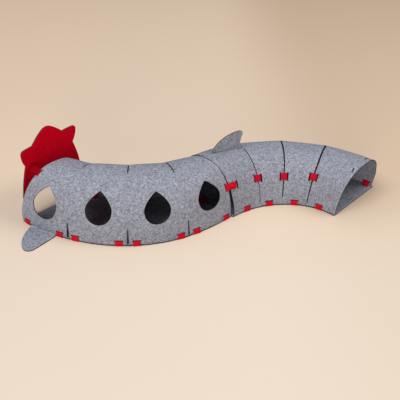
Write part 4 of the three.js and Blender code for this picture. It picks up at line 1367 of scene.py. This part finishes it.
class TUNNEL_OT_foot_straps(Operator):
    """Make the straps that tie the walls to the floors"""
    bl_idname = "tunnel.make_foot_straps"
    bl_label = "Foot straps"

    def execute(self, context):
        for bend in (HEAD, TAIL):
            rows = foot_bands(bend, context.scene.tunnel_straps.width)
            piece = bands(context, f"straps_{bend.name}_foot", *rows, felt(context, "strap_red"))
            outer = [f"strap_{bend.name}_outer_{i + 1}" for i in range(len(bend.outer_straps))]
            inner = [f"strap_{bend.name}_inner_{i + 1}" for i in range(len(bend.inner_straps))]
            fit(piece, "strap_red_felt", *outer, *inner)
        return {"FINISHED"}


class TUNNEL_OT_slit_straps(Operator):
    """Make the straps that bridge the long slits"""
    bl_idname = "tunnel.make_slit_straps"
    bl_label = "Slit straps"

    def execute(self, context):
        for bend in (HEAD, TAIL):
            rows = slit_bands(bend)
            # Painted shade: these straps get a darker copy of the strap red
            material = felt(context, "slit_strap_red")
            piece = bands(context, f"straps_{bend.name}_slit", *rows, material, SLIT_STRAP_INNER_SHARE)
            fit(piece, "strap_red_felt", *[f"strap_{bend.name}_slit_{i + 1}" for i in range(len(bend.slits))])
        return {"FINISHED"}


class TUNNEL_OT_joint_straps(Operator):
    """Make the straps that tie the two bends together"""
    bl_idname = "tunnel.make_joint_straps"
    bl_label = "Joint straps"

    def execute(self, context):
        made = {"near": joint_band(True), "far": joint_band(False), "floor": floor_band()}
        for side, band in made.items():
            piece = bands(context, f"joint_strap_{side}", *band, felt(context, "strap_red"))
            fit(piece, "strap_red_felt", f"strap_joint_{side}")
        return {"FINISHED"}


class TUNNEL_OT_head_panel(Operator):
    """Make the grey and the red sheet of the head panel"""
    bl_idname = "tunnel.make_head_panel"
    bl_label = "Head panel"

    def execute(self, context):
        outlines = panel_outlines(context.scene.tunnel_straps.width)
        # The red sheet's colour carries painted light on the panel's face
        layers = (
            ("panel_red", "panel_red_felt", felt(context, "panel_red"), STRAP_FELT, STRAP_FELT / 2),
            ("panel_grey", "grey_felt", felt(context, "grey"), FELT, STRAP_FELT + CLEARANCE + FELT / 2),
        )
        for name, slot_name, material, thickness, offset in layers:
            place = panel_point(offset)
            piece = felt_sheet(f"{name}_felt", outlines, place, SMALL_SPACING, thickness, material)
            fit(piece, slot_name, name)
            face_area(piece)
        return {"FINISHED"}


class TUNNEL_OT_panel_straps(Operator):
    """Make the straps that tie the head panel to the rim of the head bend"""
    bl_idname = "tunnel.make_panel_straps"
    bl_label = "Panel straps"

    def execute(self, context):
        width = context.scene.tunnel_straps.width
        # Painted shade: these straps get a far darker copy of the strap red
        material = felt(context, "panel_strap_red")
        for strap in PANEL_STRAPS:
            name = f"panel_strap_{strap.name}"
            place, length = bent_strip(strap_route(strap))
            outline = box_outline(np.array((length / 2, 0)), (1, 0), length, width)
            piece = felt_sheet(name, [outline], place, SMALL_SPACING, STRAP_FELT, material)
            fit(piece, "strap_red_felt", f"strap_panel_{strap.name}")
        return {"FINISHED"}


class TUNNEL_OT_fins(Operator):
    """Make the dorsal fin and the pectoral fin"""
    bl_idname = "tunnel.make_fins"
    bl_label = "Fins"

    def execute(self, context):
        fins = (
            ("fin_dorsal", dorsal_outline(), dorsal_point, "stretched", "wall_tail_felt"),
            ("fin_pectoral", pectoral_outline(), pectoral_point, "laid", "floor_head_felt"),
        )
        for name, outline, place, held, carrier in fins:
            piece = felt_sheet(f"{name}_felt", [outline], place, SMALL_SPACING, FELT, felt(context, "grey"))
            fit(piece, "grey_felt", name)
            flat = np.ptp(np.array(outline), axis=0)
            face_area(piece)
        return {"FINISHED"}


class TUNNEL_OT_stage(Operator):
    """Set the ground, the soft light and the camera"""
    bl_idname = "tunnel.set_stage"
    bl_label = "Stage"

    def execute(self, context):
        stage = context.scene.tunnel_stage
        self.lay_ground(stage)
        self.set_light(context, stage)
        self.set_camera(context, stage)
        context.scene.view_settings.view_transform = "Standard"
        context.scene.view_settings.look = "Medium High Contrast"
        return {"FINISHED"}

    def lay_ground(self, stage):
        half = stage.ground_size / 2
        mesh = bpy.data.meshes.new("ground")
        mesh.from_pydata([(a * half, b * half, 0) for a, b in BOX_CORNERS], [], [(0, 1, 2, 3)])
        material = bpy.data.materials.new("ground_paper")
        material.use_nodes = True
        tree = material.node_tree
        place = add_node(tree, "ShaderNodeTexCoord").outputs["Object"]
        parts = add_node(tree, "ShaderNodeSeparateXYZ", {0: place}).outputs
        # Painted light and shade: the ground is tinted paler in front and darker on the right, as if lit and
        # shadowed
        depth = map_range(tree, parts["Y"], GROUND_NEAR, GROUND_FAR)
        stops = [(position, np.multiply(stage.ground[:], tint)) for position, tint in GROUND_PAINTED_LIGHT]
        colour = colour_ramp(tree, depth, stops)
        for side in GROUND_PAINTED_SHADE:
            aside = map_range(tree, parts["X"], side.start, side.full, interpolation="SMOOTHSTEP")
            behind = map_range(
                tree, parts["Y"], *GROUND_PAINTED_SHADE_FROM, side.front_share, interpolation="SMOOTHSTEP")
            colour = mix_colours(tree, product(tree, aside, behind), colour, (*side.tint, 1), "MULTIPLY")
        set_inputs(tree, tree.nodes["Principled BSDF"], {"Base Color": colour, "Roughness": GROUND_ROUGHNESS})
        finished("ground", mesh, material)

    def set_light(self, context, stage):
        world = bpy.data.worlds.new("soft_room")
        world.use_nodes = True
        tree = world.node_tree
        direction = add_node(tree, "ShaderNodeTexCoord").outputs["Generated"]
        height = add_node(tree, "ShaderNodeSeparateXYZ", {0: direction}).outputs["Z"]
        strength = map_range(tree, height, SKY_FROM, 1, stage.horizon, stage.sky, "SMOOTHSTEP")
        set_inputs(tree, tree.nodes["Background"], {"Strength": strength, "Color": (1, 1, 1, 1)})
        context.scene.world = world
        self.add_lamp(context, "key_light", KEY_PLACE, stage.key_size, stage.key_power, (1, 1, 1))
        self.add_lamp(context, "fill_light", FILL_PLACE, FILL_SIZE, stage.fill_power, FILL_COLOUR)
        self.add_lamp(context, "side_light", SIDE_PLACE, SIDE_SIZE, stage.side_power, FILL_COLOUR)

    def add_lamp(self, context, name, place, size, power, colour):
        lamp = bpy.data.lights.new(name, "AREA")
        lamp.energy = power
        lamp.size = size
        lamp.color = colour
        holder = bpy.data.objects.new(name, lamp)
        holder.location = place
        holder.rotation_euler = (Vector(JOINT) - holder.location).to_track_quat("-Z", "Y").to_euler()
        context.scene.collection.objects.link(holder)

    def set_camera(self, context, stage):
        turn = radians(CAMERA_TURN)
        offset = Vector((*LOOK_AT_OFFSET, 0))
        offset.rotate(Vector((1, 0, 0)).rotation_difference(Vector((cos(turn), sin(turn), 0))))
        target = Vector(JOINT) + offset
        level = cos(radians(CAMERA_ELEVATION)) * CAMERA_DISTANCE
        rise = sin(radians(CAMERA_ELEVATION)) * CAMERA_DISTANCE
        data = bpy.data.cameras.new("camera")
        data.sensor_width = SENSOR_WIDTH
        data.lens = stage.lens
        camera = bpy.data.objects.new("camera", data)
        camera.location = target + Vector((sin(turn) * level, -cos(turn) * level, rise))
        camera.rotation_euler = (target - camera.location).to_track_quat("-Z", "Y").to_euler()
        context.scene.collection.objects.link(camera)
        context.scene.camera = camera


PIECE_OPERATORS = (
    TUNNEL_OT_floors, TUNNEL_OT_walls, TUNNEL_OT_foot_straps, TUNNEL_OT_slit_straps, TUNNEL_OT_joint_straps,
    TUNNEL_OT_head_panel, TUNNEL_OT_panel_straps, TUNNEL_OT_fins, TUNNEL_OT_stage,
)


class TUNNEL_PT_pieces(Panel):
    """Lists the pieces of the tunnel and their settings"""
    bl_label = "Felt Tunnel"
    bl_idname = "TUNNEL_PT_pieces"
    bl_space_type = "VIEW_3D"
    bl_region_type = "UI"
    bl_category = "Felt Tunnel"

    def draw(self, context):
        for name in ("tunnel_felt", "tunnel_straps", "tunnel_stage"):
            settings = getattr(context.scene, name)
            for key in settings.__annotations__:
                self.layout.prop(settings, key)
        for operator in PIECE_OPERATORS:
            self.layout.operator(operator.bl_idname)


CLASSES = (FeltSettings, StrapSettings, StageSettings, *PIECE_OPERATORS, TUNNEL_PT_pieces)


def register():
    for item in CLASSES:
        bpy.utils.register_class(item)
    bpy.types.Scene.tunnel_felt = PointerProperty(type=FeltSettings)
    bpy.types.Scene.tunnel_straps = PointerProperty(type=StrapSettings)
    bpy.types.Scene.tunnel_stage = PointerProperty(type=StageSettings)


def unregister():
    del bpy.types.Scene.tunnel_felt
    del bpy.types.Scene.tunnel_straps
    del bpy.types.Scene.tunnel_stage
    for item in reversed(CLASSES):
        bpy.utils.unregister_class(item)


def main():
    register()
    for operator in PIECE_OPERATORS:
        group, name = operator.bl_idname.split(".")
        getattr(getattr(bpy.ops, group), name)()


if __name__ == "__main__":
    main()
